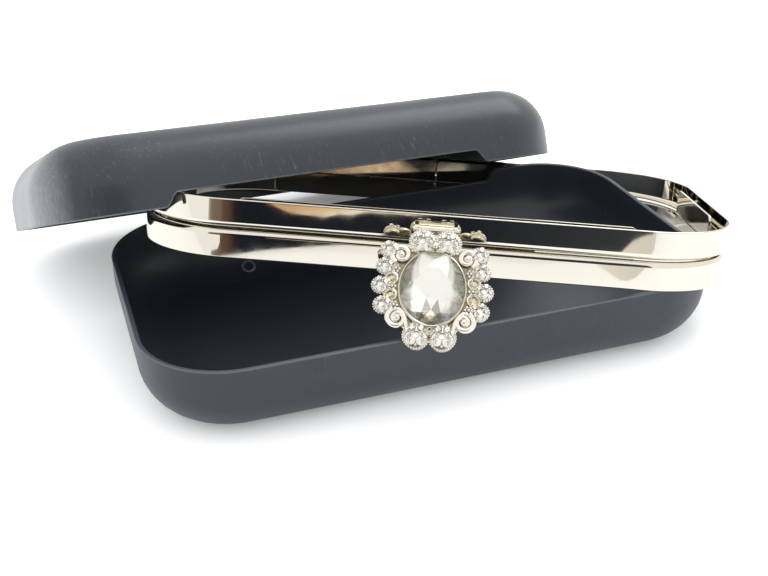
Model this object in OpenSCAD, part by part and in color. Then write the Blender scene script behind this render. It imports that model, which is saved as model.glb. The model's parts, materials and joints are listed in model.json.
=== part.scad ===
// Box clutch kit: two moulded half shells, a hinged two-rim metal frame and a jewelled flap clasp.
// The frame lies across the lower shell, the upper shell leans on the frame, and the clasp is swung out
// over the lower shell's front rim. Sizes are millimetres. The origin is the centre of the lower shell's
// flat base, +X runs along its length, +Y to the hinge side of the layout and +Z up.

/* [Shells] */
// Length of each half shell
shell_l = 200; // [186:1:214]
// Width of each half shell
shell_w = 118; // [110:1:126]
// Depth of each half shell
shell_h = 27; // [24:0.5:30]
// Corner radius seen from above
shell_corner_r = 30; // [28:0.5:34]
// Radius between the walls and the base
shell_edge_r = 18; // [14:0.5:20]
// Wall thickness
shell_wall = 1.8; // [1.4:0.1:2.2]
// Distance from the shell's end to the bottom of the hinge recess
recess_in = 44; // [40:0.5:45]
// Depth of the hinge recess below the rim
recess_depth = 4.8; // [4:0.1:5.6]
// Run of each sloped end of the recess
recess_slope = 5; // [2:0.5:8]

/* [Frame] */
// Sheet thickness of the rims and strips
sheet = 0.8; // [0.6:0.1:1]
// Room for the covering between a shell and the rim's outer wall
lining_gap = 1.7; // [1.4:0.1:2.2]
// Height of each rim
rim_h = 9.7; // [8.7:0.1:11]
// Outer radius of the bend along the seam
bend_r = 1.8; // [1.4:0.1:2.2]
// Gap between the two closed rims
seam_gap = 0.6; // [0.4:0.1:1]
// Width of the channel from the outer face to the inner strips
channel_w = 4.3; // [3.8:0.1:5]
// How far the strips stop short of the outer wall's edge
strip_drop = 0.9; // [0.5:0.1:2]
// How far the front strips stop short of the outer wall's edge
front_strip_drop = 0.1; // [0.1:0.1:0.9]
// Corner radius of the strips' free edge
strip_corner_r = 2; // [1:0.5:3]
// How far the front strips stop short of the corners
front_strip_in = 4; // [0.5:0.5:12]
// How far the back strips stop short of the corners
back_strip_in = 1; // [0.5:0.5:10]
// Open joint in the middle of the back strips
strip_joint = 0.6; // [0.4:0.1:2]
// How far the side strips stop short of the front corners
side_strip_in = 6; // [1:0.5:20]

/* [Hinge] */
// Distance from the frame's end to the row of knuckles
hinge_in = 53; // [52.5:0.5:60]
// Number of knuckles
knuckles = 9; // [7:2:13]
// Outer radius of the knuckles
knuckle_r = 2; // [1.8:0.1:2.2]
// Radius of the hinge pin
hinge_pin_r = 0.8; // [0.6:0.05:1]
// How far the axis lies inside the frame's back face
axis_inset = 1; // [0.8:0.1:1.2]
// Gap between neighbouring knuckles
knuckle_gap = 0.3; // [0.2:0.05:0.5]
// Thickness of the hinge leaves
leaf_t = 0.6; // [0.4:0.1:0.8]
// Height of the hinge leaves above the knuckles
leaf_h = 5.5; // [4:0.5:6]
// Radial clearance of the pins in their bores
pin_clearance = 0.05; // [0.03:0.01:0.08]

/* [Clasp] */
// Width of the flap between the bracket's ears
flap_w = 11; // [9:0.5:14]
// Length of the flap below its pin
flap_l = 14; // [12.5:0.5:16]
// Thickness of the flap
flap_t = 1; // [0.8:0.1:1.2]
// Outer radius of the flap's barrel
barrel_r = 1.7; // [1.6:0.1:2]
// Radius of the clasp pin
clasp_pin_r = 0.8; // [0.6:0.05:0.9]
// Distance of the clasp pin in front of the frame's face
pin_standoff = 3.5; // [3.2:0.1:4]
// Height of the clasp pin above the seam
pin_z = 5.2; // [4.8:0.1:6]
// Thickness of the bracket's ears
ear_t = 1.2; // [1:0.1:1.6]
// Side gap between the flap and the ears
ear_gap = 0.3; // [0.2:0.05:0.5]
// Height of the bracket's base plate
bracket_h = 5.6; // [5:0.1:6]
// Radius of the rivet shanks
rivet_r = 0.8; // [0.6:0.05:1]
// Distance between the two rivets of a plate
rivet_pitch = 6; // [4:0.5:7]
// Radius of the catch bead on the lower rim
catch_r = 1.2; // [1:0.1:1.4]

/* [Brooch] */
// Width of the centre stone
stone_w = 20; // [18:0.5:21]
// Height of the centre stone
stone_h = 25; // [24:0.5:26]
// Height of the stone's crown
crown_h = 5; // [4:0.5:6]
// Facets round the stone
stone_facets = 16; // [12:4:24]
// Thickness of the casting's back ring
ring_t = 1.6; // [1.2:0.1:2]
// Width of the casting's back ring outside the stone
ring_w = 4.2; // [3.9:0.1:4.6]
// Ledge of the back ring under the stone
ring_ledge = 1.4; // [1:0.1:2]
// Height of the bezel round the stone
bezel_h = 2; // [1.4:0.1:2.4]
// Wall of the bezel round the stone
bezel_t = 0.8; // [0.6:0.1:0.9]
// Radius of the paired lobes at the top and bottom
lobe_r = 4.2; // [4:0.1:4.6]
// Radius of the side lobes
side_lobe_r = 2.8; // [2.4:0.1:2.9]
// Height of the lobes' domes over the ring
dome_h = 1.5; // [1:0.1:2]
// Straight wall of the lobes over the ring
lobe_rise = 0.4; // [0.2:0.1:0.8]
// Tube radius of the scrolls
scroll_t = 0.9; // [0.7:0.05:1.1]
// Height of the scrolls' middle over the ring
scroll_lift = 0.3; // [0.2:0.05:0.5]
// Outer radius of the scrolls
scroll_r = 3.4; // [3:0.1:3.6]
// Radius of the small stones
rhinestone_r = 0.85; // [0.6:0.05:1]
// Radius of the side stones next to the bezel
side_stone_r = 1.5; // [1.2:0.1:1.6]
// Length of the posts between the flap and the casting
post_l = 1.5; // [1.3:0.1:3]
// Drop from the clasp pin to the middle of the brooch
brooch_drop = 22.4; // [21:0.1:24]

/* [Layout] */
// Distance from the lower shell's right end to where the frame crosses its front rim
rest_front_in = 35.5; // [33:0.5:42]
// Distance from the lower shell's left end to where the frame crosses its back rim
rest_back_in = 23.6; // [20:0.2:28]
// How far past its corner's start the frame crosses the lower shell's front rim
rest_past = 1.8; // [0:0.1:3]
// Where the upper shell's front wall crosses the frame's front left corner, as an angle
lean_angle = 241.5; // [236:0.5:248]
// Distance from the frame's right end to where the upper shell's end wall crosses its back
lean_back_in = 75.8; // [73:0.1:82]
// Distance from the end of the upper shell's recess to the frame's corner in it
recess_seat = 0.7; // [0.4:0.1:4]
// Gap kept between loose pieces that rest on each other
rest_gap = 0.3; // [0.2:0.05:0.5]
// Height of the frame's outer edge over the lower shell's rim where they cross
rest_lift = 0.9; // [0.8:0.05:1.2]

/* [Hidden] */
$fn = 64;
overcut = 1;
frame_l = shell_l + 2 * (sheet + lining_gap);
frame_w = shell_w + 2 * (sheet + lining_gap);
frame_r = shell_corner_r + sheet + lining_gap;
frame_top = rim_h + seam_gap / 2;
corner_x = frame_l / 2 - frame_r;
corner_y = frame_w / 2 - frame_r;
recess_l = shell_l - 2 * recess_in;
hinge_l = frame_l - 2 * hinge_in;
strip_h = rim_h - strip_drop;
front_strip_h = rim_h - front_strip_drop;
front_strip_l = 2 * (corner_x - front_strip_in);
back_strip_l = 2 * (corner_x - back_strip_in);
side_strip_l = 2 * corner_y - side_strip_in;
side_strip_shift = side_strip_in / 2;
axis_y = frame_w / 2 - axis_inset;
knuckle_l = hinge_l / knuckles;
hinge_bore_r = hinge_pin_r + pin_clearance;
clasp_bore_r = clasp_pin_r + pin_clearance;
bracket_w = flap_w + 2 * (ear_gap + ear_t);
head_h = 0.5;
head_r = 1.6 * rivet_r;
snap_gap = 0.3;
hook_l = pin_standoff - sheet - head_h - snap_gap;
catch_w = flap_w;
catch_z = pin_z - flap_l + 2 * flap_t + snap_gap + 2 * catch_r - bracket_h / 2;
catch_rivet_z = catch_z - catch_r;
brooch_back = flap_t / 2 + post_l;
ear_r = barrel_r + 0.2;
knuckle_room = knuckle_r + 0.5;
bezel_clearance = 0.2;
post_r = 1.1;
pair_spread = 2.5;
side_spread = 1.75;
eye_shift = 0.4;

// The places of the ornament's pieces on the right half, measured from the middle of the stone
pair_lobe = [4, stone_h / 2 + 3.6];
scroll_place = [stone_w / 2 + 0.4, stone_h / 2 - 1.6];
corner_lobe = [stone_w / 2 + 4.3, stone_h / 2 + 0.1];
flank_lobe = [stone_w / 2 + 5.2, 6.7];
waist_lobe = [stone_w / 2 + 6.2, 0];
side_stone = [stone_w / 2 + 3, 2.9];

// Turning of a point about Z and about X
function turn_z(p, a) = [p.x * cos(a) - p.y * sin(a), p.x * sin(a) + p.y * cos(a), p.z];
function turn_x(p, a) = [p.x, p.y * cos(a) - p.z * sin(a), p.y * sin(a) + p.z * cos(a)];

// Half width of the shell's outline at a place along its length
function past_corner(x) = max(0, abs(x) - (shell_l / 2 - shell_corner_r));
function outline_y(x) = shell_w / 2 - shell_corner_r + sqrt(shell_corner_r ^ 2 - past_corner(x) ^ 2);

// The frame rests on two points of the lower shell's rim and on the table under its far corner
rest_front_x = shell_l / 2 - rest_front_in;
rest_back_x = rest_back_in - shell_l / 2;
rest_front = [rest_front_x, -outline_y(rest_front_x), shell_h + rest_lift];
rest_back = [rest_back_x, outline_y(rest_back_x), shell_h + rest_lift];
rest_span = norm(rest_front - rest_back);
frame_swing = acos((frame_l / 2 + corner_x + rest_past) / rest_span);
frame_azimuth = atan2(rest_front.y - rest_back.y, rest_front.x - rest_back.x);
frame_anchor = [-frame_l / 2, -frame_w / 2 + rest_span * sin(frame_swing), -frame_top];
far_reach = sin(frame_swing) * (frame_l / 2 - frame_r) + cos(frame_swing) * (frame_w / 2 - frame_r) + frame_r;
rest_reach = sin(frame_swing) * frame_anchor.x + cos(frame_swing) * frame_anchor.y;
frame_tilt = asin((shell_h + rest_lift) / (far_reach - rest_reach));

function world_to_frame(q) =
    frame_anchor + turn_z(turn_x(turn_z(q - rest_back, -frame_azimuth), frame_tilt), -frame_swing);

// The upper shell leans on the upper rim: its recess lies on the front left corner and its end wall on the
// back, and it tips until its roof meets the back left corner or its back edge meets the table.
// The normal of its rim's plane settles in a few steps.
front_rest = [-corner_x + frame_r * cos(lean_angle), -corner_y + frame_r * sin(lean_angle), frame_top];
end_rest = [frame_l / 2 - lean_back_in, frame_w / 2, frame_top];
table_at = world_to_frame([0, 0, 0]);
table_up = world_to_frame([0, 0, 1]) - table_at;
seat_reach = shell_l / 2 - shell_wall + recess_l / 2 - recess_seat;
function unit(v) = v / norm(v);
function flat(v, n) = v - n * (v * n);
function way_x(n) =
    let (back = flat(end_rest - front_rest, n), along = unit(back), turn = acos(seat_reach / norm(back)))
    along * cos(turn) - cross(n, along) * sin(turn);
function way_y(n) = cross(n, way_x(n));
function origin_at(n) = way_x(n) * (end_rest * way_x(n) - shell_l / 2 + shell_wall)
    + way_y(n) * (front_rest * way_y(n) + shell_w / 2 - shell_wall)
    + n * (end_rest * n + rest_gap);
function roof_rest(n) = [-corner_x, corner_y, frame_top] + frame_r * unit([n.x, n.y, 0])
    - n * (shell_h - shell_wall - rest_gap);
function rim_low(n) =
    let (x = way_x(n), y = way_y(n), down = unit(flat(-table_up, n)))
    origin_at(n) + x * sign(down * x) * (shell_l / 2 - shell_corner_r)
    + y * sign(down * y) * (shell_w / 2 - shell_corner_r) + down * shell_corner_r;
function table_rest(n) =
    let (low = rim_low(n))
    low - table_up * ((low - table_at) * table_up - rest_gap);
function plane_normal(p, q, r) = unit(cross(q - p, r - p));
function settled(n, third) =
    plane_normal(front_rest - n * (recess_depth - rest_gap), end_rest + n * rest_gap, third);
function on_roof(n, steps) = steps == 0 ? n : on_roof(unit(n + settled(n, roof_rest(n))), steps - 1);
function on_table(n, steps) = steps == 0 ? n : on_table(unit(n + settled(n, table_rest(n))), steps - 1);
roof_lean = on_roof(unit([-1, 1, 5]), 40);
table_lean = on_table(roof_lean, 40);
lean_z = roof_lean.z > table_lean.z ? roof_lean : table_lean;
lean_x = way_x(lean_z);
lean_y = way_y(lean_z);
lean_origin = origin_at(lean_z);

// The clasp lies on the lower shell's front rim: the angle at which the brooch's back clears the rim
clasp_axis = [0, -frame_w / 2 - pin_standoff, pin_z];
prop_half = pair_lobe.x + lobe_r;
rim_origin = world_to_frame([0, -shell_w / 2, shell_h]);
rim_step = world_to_frame([1, -shell_w / 2, shell_h]) - rim_origin;
function rim_at(u) = rim_origin + rim_step * ((u - rim_origin.x) / rim_step.x) - clasp_axis;
function prop_at(q) = atan2(-q.y, -q.z) - asin((brooch_back - rest_gap) / norm([q.y, q.z]));
clasp_angle = max([for (u = [-prop_half : prop_half]) prop_at(rim_at(u))]);

// Places of the sub-assemblies
module in_frame() {
    translate(rest_back) rotate([0, 0, frame_azimuth]) rotate([-frame_tilt, 0, 0]) rotate([0, 0, frame_swing])
        translate(-frame_anchor) children();
}

module in_upper() {
    in_frame() translate([0, 0, seam_gap / 2]) children();
}

module in_lower() {
    in_frame() mirror([0, 0, 1]) translate([0, 0, seam_gap / 2]) children();
}

module in_clasp() {
    in_frame() translate(clasp_axis) rotate([-clasp_angle, 0, 0]) children();
}

// The upper shell's rim plane, with Z to its closed side
module in_top_shell() {
    in_frame() translate(lean_origin)
        rotate([atan2(lean_y.z, lean_z.z), -asin(lean_x.z), atan2(lean_x.y, lean_x.x)]) children();
}

// The brooch's own plane: X across, Y up to the clasp pin, Z out of its face
module in_brooch() {
    in_clasp() translate([0, -brooch_back, -brooch_drop]) rotate([90, 0, 0]) children();
}

module both_sides() {
    children();
    mirror([1, 0, 0]) children();
}

module four_quarters() {
    both_sides() children();
    mirror([0, 1, 0]) both_sides() children();
}

// A wall section carried round a rounded rectangle, with the section's X measured from the corner's centre
module carried_round(l, w, r) {
    for (turn = [0 : 3]) {
        half_l = (turn % 2 == 0 ? l : w) / 2 - r;
        half_w = (turn % 2 == 0 ? w : l) / 2 - r;
        rotate(90 * turn) {
            translate([half_l, half_w, 0]) rotate_extrude(angle = 90) children();
            translate([half_l, half_w, 0]) rotate([90, 0, 0]) linear_extrude(2 * half_w) children();
        }
    }
}

module rounded_plate(l, w, r, t) {
    linear_extrude(t) {
        square([l - 2 * r, w], center = true);
        square([l, w - 2 * r], center = true);
        for (x = [-1, 1], y = [-1, 1]) translate([x * (l / 2 - r), y * (w / 2 - r)]) circle(r);
    }
}

// Section of a shell's wall: a straight wall over a quarter ring
module shell_section() {
    foot_r = shell_corner_r - shell_edge_r;
    translate([shell_corner_r - shell_wall, shell_edge_r]) square([shell_wall, shell_h - shell_edge_r]);
    translate([foot_r, shell_edge_r]) intersection() {
        difference() {
            circle(shell_edge_r);
            circle(shell_edge_r - shell_wall);
        }
        translate([0, -shell_edge_r]) square(shell_edge_r);
    }
}

module recess_cut() {
    top_l = recess_l + 2 * recess_slope * (recess_depth + overcut) / recess_depth;
    translate([0, shell_w / 2 + overcut, shell_h - recess_depth]) rotate([90, 0, 0])
        linear_extrude(shell_wall + 2 * overcut) polygon([
            [-recess_l / 2, 0], [recess_l / 2, 0],
            [top_l / 2, recess_depth + overcut], [-top_l / 2, recess_depth + overcut]
        ]);
}

module half_shell() {
    foot = 2 * shell_edge_r;
    difference() {
        union() {
            carried_round(shell_l, shell_w, shell_corner_r) shell_section();
            rounded_plate(shell_l - foot, shell_w - foot, shell_corner_r - shell_edge_r, shell_wall);
        }
        recess_cut();
    }
}

// Section of a rim: outer wall, bend along the seam and the web that closes the channel
module rim_section() {
    translate([frame_r - sheet, bend_r]) square([sheet, rim_h - bend_r]);
    translate([frame_r - channel_w, 0]) square([channel_w - bend_r, sheet]);
    translate([frame_r - bend_r, bend_r]) intersection() {
        difference() {
            circle(bend_r);
            circle(bend_r - sheet);
        }
        translate([0, -bend_r]) square(bend_r);
    }
}

// Room for the knuckles in the back wall, the bend and the web
module knuckle_cut() {
    depth = knuckle_room + axis_inset + overcut;
    translate([-hinge_l / 2 - knuckle_gap, axis_y - knuckle_room, -overcut])
        cube([hinge_l + 2 * knuckle_gap, depth, overcut + knuckle_room - seam_gap / 2]);
}

module rivet_holes(z) {
    for (x = [-1, 1]) translate([x * rivet_pitch / 2, -frame_w / 2 - 2 * sheet, z]) rotate([-90, 0, 0])
        cylinder(r = rivet_r, h = 4 * sheet);
}

module rim(rivet_z) {
    difference() {
        carried_round(frame_l, frame_w, frame_r) rim_section();
        knuckle_cut();
        rivet_holes(rivet_z);
    }
}

// A strip seen from its face, standing on X, with both upper corners rounded
module strip(l, h) {
    translate([0, sheet / 2, 0]) rotate([90, 0, 0]) linear_extrude(sheet) {
        translate([-l / 2, 0]) square([l, h - strip_corner_r]);
        translate([-l / 2 + strip_corner_r, 0]) square([l - 2 * strip_corner_r, h]);
        for (x = [-1, 1]) translate([x * (l / 2 - strip_corner_r), h - strip_corner_r])
            circle(strip_corner_r);
    }
}

strip_y = frame_w / 2 - channel_w - sheet / 2;
strip_x = frame_l / 2 - channel_w - sheet / 2;
half_back_l = (back_strip_l - strip_joint) / 2;

module front_strip() {
    translate([0, -strip_y, 0]) strip(front_strip_l, front_strip_h);
}

module side_strip(side) {
    translate([side * strip_x, side_strip_shift, 0]) rotate(90) strip(side_strip_l, strip_h);
}

module back_strip(side) {
    translate([side * (strip_joint + half_back_l) / 2, strip_y, 0]) strip(half_back_l, strip_h);
}

// One leaf of the hinge: a plate inside the channel with every second knuckle rolled on its edge
module hinge_leaf(first) {
    leaf_y = frame_w / 2 - sheet - leaf_t;
    difference() {
        union() {
            translate([-hinge_l / 2, leaf_y, knuckle_room]) cube([hinge_l, leaf_t, leaf_h]);
            for (k = [first : 2 : knuckles - 1]) {
                x = -hinge_l / 2 + k * knuckle_l + knuckle_gap / 2;
                translate([x, axis_y, 0]) rotate([0, 90, 0])
                    cylinder(r = knuckle_r, h = knuckle_l - knuckle_gap);
                translate([x, leaf_y, 0]) cube([knuckle_l - knuckle_gap, leaf_t, knuckle_room]);
            }
        }
        translate([-hinge_l, axis_y, 0]) rotate([0, 90, 0]) cylinder(r = hinge_bore_r, h = 2 * hinge_l);
    }
}

// Rivets through a plate and the rim's wall behind it, with a head on each side
module rivets(z, grip) {
    for (x = [-1, 1]) translate([x * rivet_pitch / 2, -frame_w / 2 + sheet, z]) rotate([90, 0, 0]) {
        cylinder(r = rivet_r, h = grip);
        translate([0, 0, -head_h]) cylinder(r = head_r, h = head_h);
        translate([0, 0, grip]) cylinder(r = head_r, h = head_h);
    }
}

module ear() {
    rotate([90, 0, 90]) linear_extrude(ear_t) difference() {
        union() {
            circle(ear_r);
            translate([0, -ear_r]) square([pin_standoff - sheet, 2 * ear_r]);
        }
        circle(clasp_bore_r);
    }
}

// An oval of four arcs, a half-width and b half-height, with round ends of radius e
module oval(a, b) {
    e = 0.85 * a;
    side_r = (a ^ 2 + (b - e) ^ 2 - e ^ 2) / (2 * (a - e));
    meet_y = side_r * (b - e) / (side_r - e);
    intersection() {
        translate([side_r - a, 0]) circle(side_r);
        translate([a - side_r, 0]) circle(side_r);
        square([2 * a, 2 * meet_y], center = true);
    }
    for (y = [-1, 1]) translate([0, y * (b - e)]) circle(e);
}

// A round pad with a domed top
module lobe(r) {
    top = ring_t + lobe_rise + dome_h;
    ball_r = (r ^ 2 + dome_h ^ 2) / (2 * dome_h);
    rotate_extrude() intersection() {
        translate([0, top - ball_r]) circle(ball_r);
        square([r, top]);
    }
}

module scroll_arc(r, at, turn) {
    translate([at, 0, 0]) rotate(turn) rotate_extrude(angle = 180) translate([r, 0]) circle(scroll_t);
}

// A volute of three half turns that tighten round a bead
module volute() {
    mid_r = 0.68 * scroll_r;
    end_r = 0.38 * scroll_r;
    translate([0, 0, ring_t + scroll_lift]) {
        scroll_arc(scroll_r, 0, 0);
        scroll_arc(mid_r, mid_r - scroll_r, 180);
        scroll_arc(end_r, 2 * mid_r - scroll_r - end_r, 0);
        translate([2 * mid_r - scroll_r - end_r - eye_shift, 0, 0]) sphere(1.3 * scroll_t);
    }
}

// A small cut stone on a lobe's dome: tilted about the middle of the dome's ball
module dome_stone(lobe_r, tilt, turn, r) {
    ball_r = (lobe_r ^ 2 + dome_h ^ 2) / (2 * dome_h);
    rotate(turn) translate([0, 0, ring_t + lobe_rise + dome_h - ball_r]) rotate([0, tilt, 0])
        translate([0, 0, ball_r]) cylinder(r1 = r, r2 = 0.6 * r, h = 0.6 * r, $fn = 6);
}

module pave(r, count, spread) {
    ball_r = (r ^ 2 + dome_h ^ 2) / (2 * dome_h);
    dome_stone(r, 0, 0, rhinestone_r);
    for (k = [0 : count - 1]) dome_stone(r, asin(spread / ball_r), 360 * k / count, rhinestone_r);
}

// Points of a ring of the centre stone: share of the girdle, height and turn in half facets
function stone_ring(share, z, half) = [
    for (k = [0 : stone_facets - 1])
        let (a = 360 * (k + half / 2) / stone_facets)
        [share * stone_w / 2 * cos(a), share * stone_h / 2 * sin(a), z]
];
function ring_faces(low, high, half) = [
    for (k = [0 : stone_facets - 1])
        let (n = (k + 1) % stone_facets, m = half == 1 ? k : n, o = half == 1 ? n : k)
        each [[low + k, high + m, low + n], [high + k, high + n, low + o]]
];

module bottom_shell() {
    color("#23262b") half_shell();
}

module top_shell() {
    color("#4a5055") in_top_shell() translate([0, 0, shell_h]) rotate([180, 0, 0]) half_shell();
}

module lower_rim() {
    color("#cfcac0") in_lower() rim(-catch_rivet_z - seam_gap / 2);
}

module upper_rim() {
    color("#d6d1c6") in_upper() rim(pin_z - seam_gap / 2);
}

module lower_front_strip() {
    color("#c4beb2") in_lower() front_strip();
}

module upper_front_strip() {
    color("#c4beb2") in_upper() front_strip();
}

module lower_left_strip() {
    color("#c4beb2") in_lower() side_strip(-1);
}

module upper_left_strip() {
    color("#c4beb2") in_upper() side_strip(-1);
}

module lower_right_strip() {
    color("#c4beb2") in_lower() side_strip(1);
}

module upper_right_strip() {
    color("#c4beb2") in_upper() side_strip(1);
}

module lower_back_left_strip() {
    color("#c4beb2") in_lower() back_strip(-1);
}

module upper_back_left_strip() {
    color("#c4beb2") in_upper() back_strip(-1);
}

module lower_back_right_strip() {
    color("#c4beb2") in_lower() back_strip(1);
}

module upper_back_right_strip() {
    color("#c4beb2") in_upper() back_strip(1);
}

module lower_hinge_leaf() {
    color("#b5b0a6") in_frame() mirror([0, 0, 1]) hinge_leaf(0);
}

module upper_hinge_leaf() {
    color("#b5b0a6") in_frame() hinge_leaf(1);
}

module hinge_pin() {
    color("#9c988f") in_frame() translate([-hinge_l / 2, axis_y, 0]) rotate([0, 90, 0])
        cylinder(r = hinge_pin_r, h = hinge_l);
}

module catch_plate() {
    color("#c9c3b6") in_frame() translate([-catch_w / 2, -frame_w / 2, catch_z]) difference() {
        union() {
            translate([0, -sheet, -bracket_h / 2]) cube([catch_w, sheet, bracket_h]);
            translate([0, -sheet, bracket_h / 2 - catch_r]) rotate([0, 90, 0])
                cylinder(r = catch_r, h = catch_w);
        }
        translate([-overcut, 0, -bracket_h]) cube([catch_w + 2 * overcut, 2 * catch_r, 2 * bracket_h]);
        translate([catch_w / 2, frame_w / 2, 0]) rivet_holes(-catch_r);
    }
}

module catch_rivets() {
    color("#a8a39a") in_frame() rivets(catch_rivet_z, 2 * sheet);
}

module clasp_bracket() {
    color("#c9c3b6") in_frame() {
        difference() {
            translate([-bracket_w / 2, -frame_w / 2 - sheet, pin_z - bracket_h / 2])
                cube([bracket_w, sheet, bracket_h]);
            rivet_holes(pin_z);
        }
        for (x = [-bracket_w / 2, bracket_w / 2 - ear_t]) translate(clasp_axis + [x, 0, 0]) ear();
    }
}

module bracket_rivets() {
    color("#a8a39a") in_frame() rivets(pin_z, 2 * sheet);
}

module clasp_pin() {
    color("#9c988f") in_frame() translate(clasp_axis - [bracket_w / 2 + head_h, 0, 0]) rotate([0, 90, 0]) {
        cylinder(r = clasp_pin_r, h = bracket_w + 2 * head_h);
        cylinder(r = head_r, h = head_h);
        translate([0, 0, bracket_w + head_h]) cylinder(r = head_r, h = head_h);
    }
}

// The flap hangs on its barrel and ends in a hook that snaps under the catch bead
module clasp_flap() {
    color("#c9c3b6") in_clasp() difference() {
        union() {
            translate([-flap_w / 2, 0, 0]) rotate([0, 90, 0]) cylinder(r = barrel_r, h = flap_w);
            translate([-flap_w / 2, -flap_t / 2, -flap_l]) cube([flap_w, flap_t, flap_l]);
            translate([-flap_w / 2, -flap_t / 2, -flap_l]) cube([flap_w, hook_l + flap_t / 2, flap_t]);
            translate([-flap_w / 2, hook_l - flap_t, -flap_l]) cube([flap_w, flap_t, 2 * flap_t]);
        }
        translate([-flap_w, 0, 0]) rotate([0, 90, 0]) cylinder(r = clasp_bore_r, h = 2 * flap_w);
    }
}

module brooch_posts() {
    color("#b5b0a6") in_clasp() for (x = [-1, 1])
        translate([x * pair_lobe.x, -flap_t / 2, pair_lobe.y - brooch_drop]) rotate([90, 0, 0])
            cylinder(r = post_r, h = post_l);
}

// The casting: a back ring with domed lobes and scrolls, cleared for the bezel
module brooch_setting() {
    color("#cfc8b8") in_brooch() difference() {
        union() {
            linear_extrude(ring_t) oval(stone_w / 2 + ring_w, stone_h / 2 + ring_w);
            four_quarters() translate(pair_lobe) lobe(lobe_r);
            four_quarters() translate(scroll_place) rotate(-45) volute();
            four_quarters() translate(flank_lobe) lobe(side_lobe_r);
            both_sides() translate(waist_lobe) lobe(side_lobe_r);
            both_sides() translate(corner_lobe) lobe(side_lobe_r);
        }
        translate([0, 0, -overcut]) linear_extrude(ring_t + 2 * overcut)
            oval(stone_w / 2 - ring_ledge, stone_h / 2 - ring_ledge);
        translate([0, 0, ring_t]) linear_extrude(lobe_rise + 2 * dome_h + bezel_h)
            oval(stone_w / 2 + bezel_clearance + bezel_t, stone_h / 2 + bezel_clearance + bezel_t);
    }
}

module stone_bezel() {
    inner = bezel_clearance;
    color("#e0dbcf") in_brooch() translate([0, 0, ring_t]) linear_extrude(bezel_h) difference() {
        oval(stone_w / 2 + inner + bezel_t, stone_h / 2 + inner + bezel_t);
        oval(stone_w / 2 + inner, stone_h / 2 + inner);
    }
}

// An oval stone with a checkerboard crown over a flat back
module centre_stone() {
    shares = [0.96, 1, 0.84, 0.56, 0.24];
    heights = [0, 1, 0.45 * crown_h + 0.55, 0.8 * crown_h + 0.2, crown_h];
    halves = [0, 0, 1, 0, 1];
    points = [for (i = [0 : len(shares) - 1]) each stone_ring(shares[i], heights[i], halves[i])];
    last = (len(shares) - 1) * stone_facets;
    sides = [
        for (i = [0 : len(shares) - 2])
            each ring_faces(i * stone_facets, (i + 1) * stone_facets, halves[i + 1] - halves[i])
    ];
    base = [[for (k = [0 : stone_facets - 1]) k]];
    table = [[for (k = [stone_facets - 1 : -1 : 0]) last + k]];
    color("#eef1f2") in_brooch() translate([0, 0, ring_t]) polyhedron(points, concat(base, sides, table));
}

module side_stones() {
    color("#e6e0b8") in_brooch() four_quarters() translate([side_stone.x, side_stone.y, ring_t])
        cylinder(r1 = side_stone_r, r2 = 0.6 * side_stone_r, h = 0.8 * side_stone_r, $fn = 8);
}

module rhinestones() {
    color("#f2f4f5") in_brooch() {
        four_quarters() translate(pair_lobe) pave(lobe_r, 6, pair_spread);
        four_quarters() translate(flank_lobe) pave(side_lobe_r, 5, side_spread);
        both_sides() translate(waist_lobe) pave(side_lobe_r, 5, side_spread);
        both_sides() translate(corner_lobe) pave(side_lobe_r, 5, side_spread);
    }
}

bottom_shell();
top_shell();
lower_rim();
lower_front_strip();
lower_left_strip();
lower_right_strip();
lower_back_left_strip();
lower_back_right_strip();
lower_hinge_leaf();
hinge_pin();
catch_plate();
catch_rivets();
upper_rim();
upper_front_strip();
upper_left_strip();
upper_right_strip();
upper_back_left_strip();
upper_back_right_strip();
upper_hinge_leaf();
clasp_bracket();
bracket_rivets();
clasp_pin();
clasp_flap();
brooch_posts();
brooch_setting();
stone_bezel();
centre_stone();
side_stones();
rhinestones();
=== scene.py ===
"""Looks of a box clutch evening bag that lies in its parts.

Two moulded half shells, the closed two-rim clasp frame between them and the jewelled flap clasp are dressed
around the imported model. Sizes are millimetres in each part's own frame, and metres once a part is placed.
"""

from __future__ import annotations

import json
import logging
import math
from dataclasses import dataclass
from enum import Enum
from functools import partial
from typing import Any, Callable, Sequence

import bmesh
import bpy
import numpy as np
from mathutils import Matrix, Vector

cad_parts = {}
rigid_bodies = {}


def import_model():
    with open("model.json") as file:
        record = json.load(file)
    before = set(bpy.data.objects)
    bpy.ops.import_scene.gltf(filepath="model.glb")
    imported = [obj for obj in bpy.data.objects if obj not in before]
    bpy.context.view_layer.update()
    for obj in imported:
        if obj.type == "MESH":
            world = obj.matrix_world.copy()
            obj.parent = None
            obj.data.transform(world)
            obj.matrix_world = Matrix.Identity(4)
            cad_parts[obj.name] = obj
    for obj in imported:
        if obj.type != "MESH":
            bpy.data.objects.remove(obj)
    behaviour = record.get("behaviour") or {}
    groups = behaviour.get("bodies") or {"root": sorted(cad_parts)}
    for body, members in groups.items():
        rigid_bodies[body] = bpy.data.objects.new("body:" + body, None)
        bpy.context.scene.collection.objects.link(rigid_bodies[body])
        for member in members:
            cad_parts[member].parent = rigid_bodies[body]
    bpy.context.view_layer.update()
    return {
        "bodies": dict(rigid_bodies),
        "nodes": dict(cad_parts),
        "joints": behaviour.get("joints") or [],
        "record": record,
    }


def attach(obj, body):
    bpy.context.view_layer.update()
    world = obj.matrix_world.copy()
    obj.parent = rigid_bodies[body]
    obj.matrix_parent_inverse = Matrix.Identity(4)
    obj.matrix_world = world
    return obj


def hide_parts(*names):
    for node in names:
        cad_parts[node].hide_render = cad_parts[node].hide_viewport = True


LOG = logging.getLogger("box_clutch")
MM = 0.001
UP = np.array([0.0, 0.0, 1.0])
WHITE = (1.0, 1.0, 1.0, 1.0)
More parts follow.
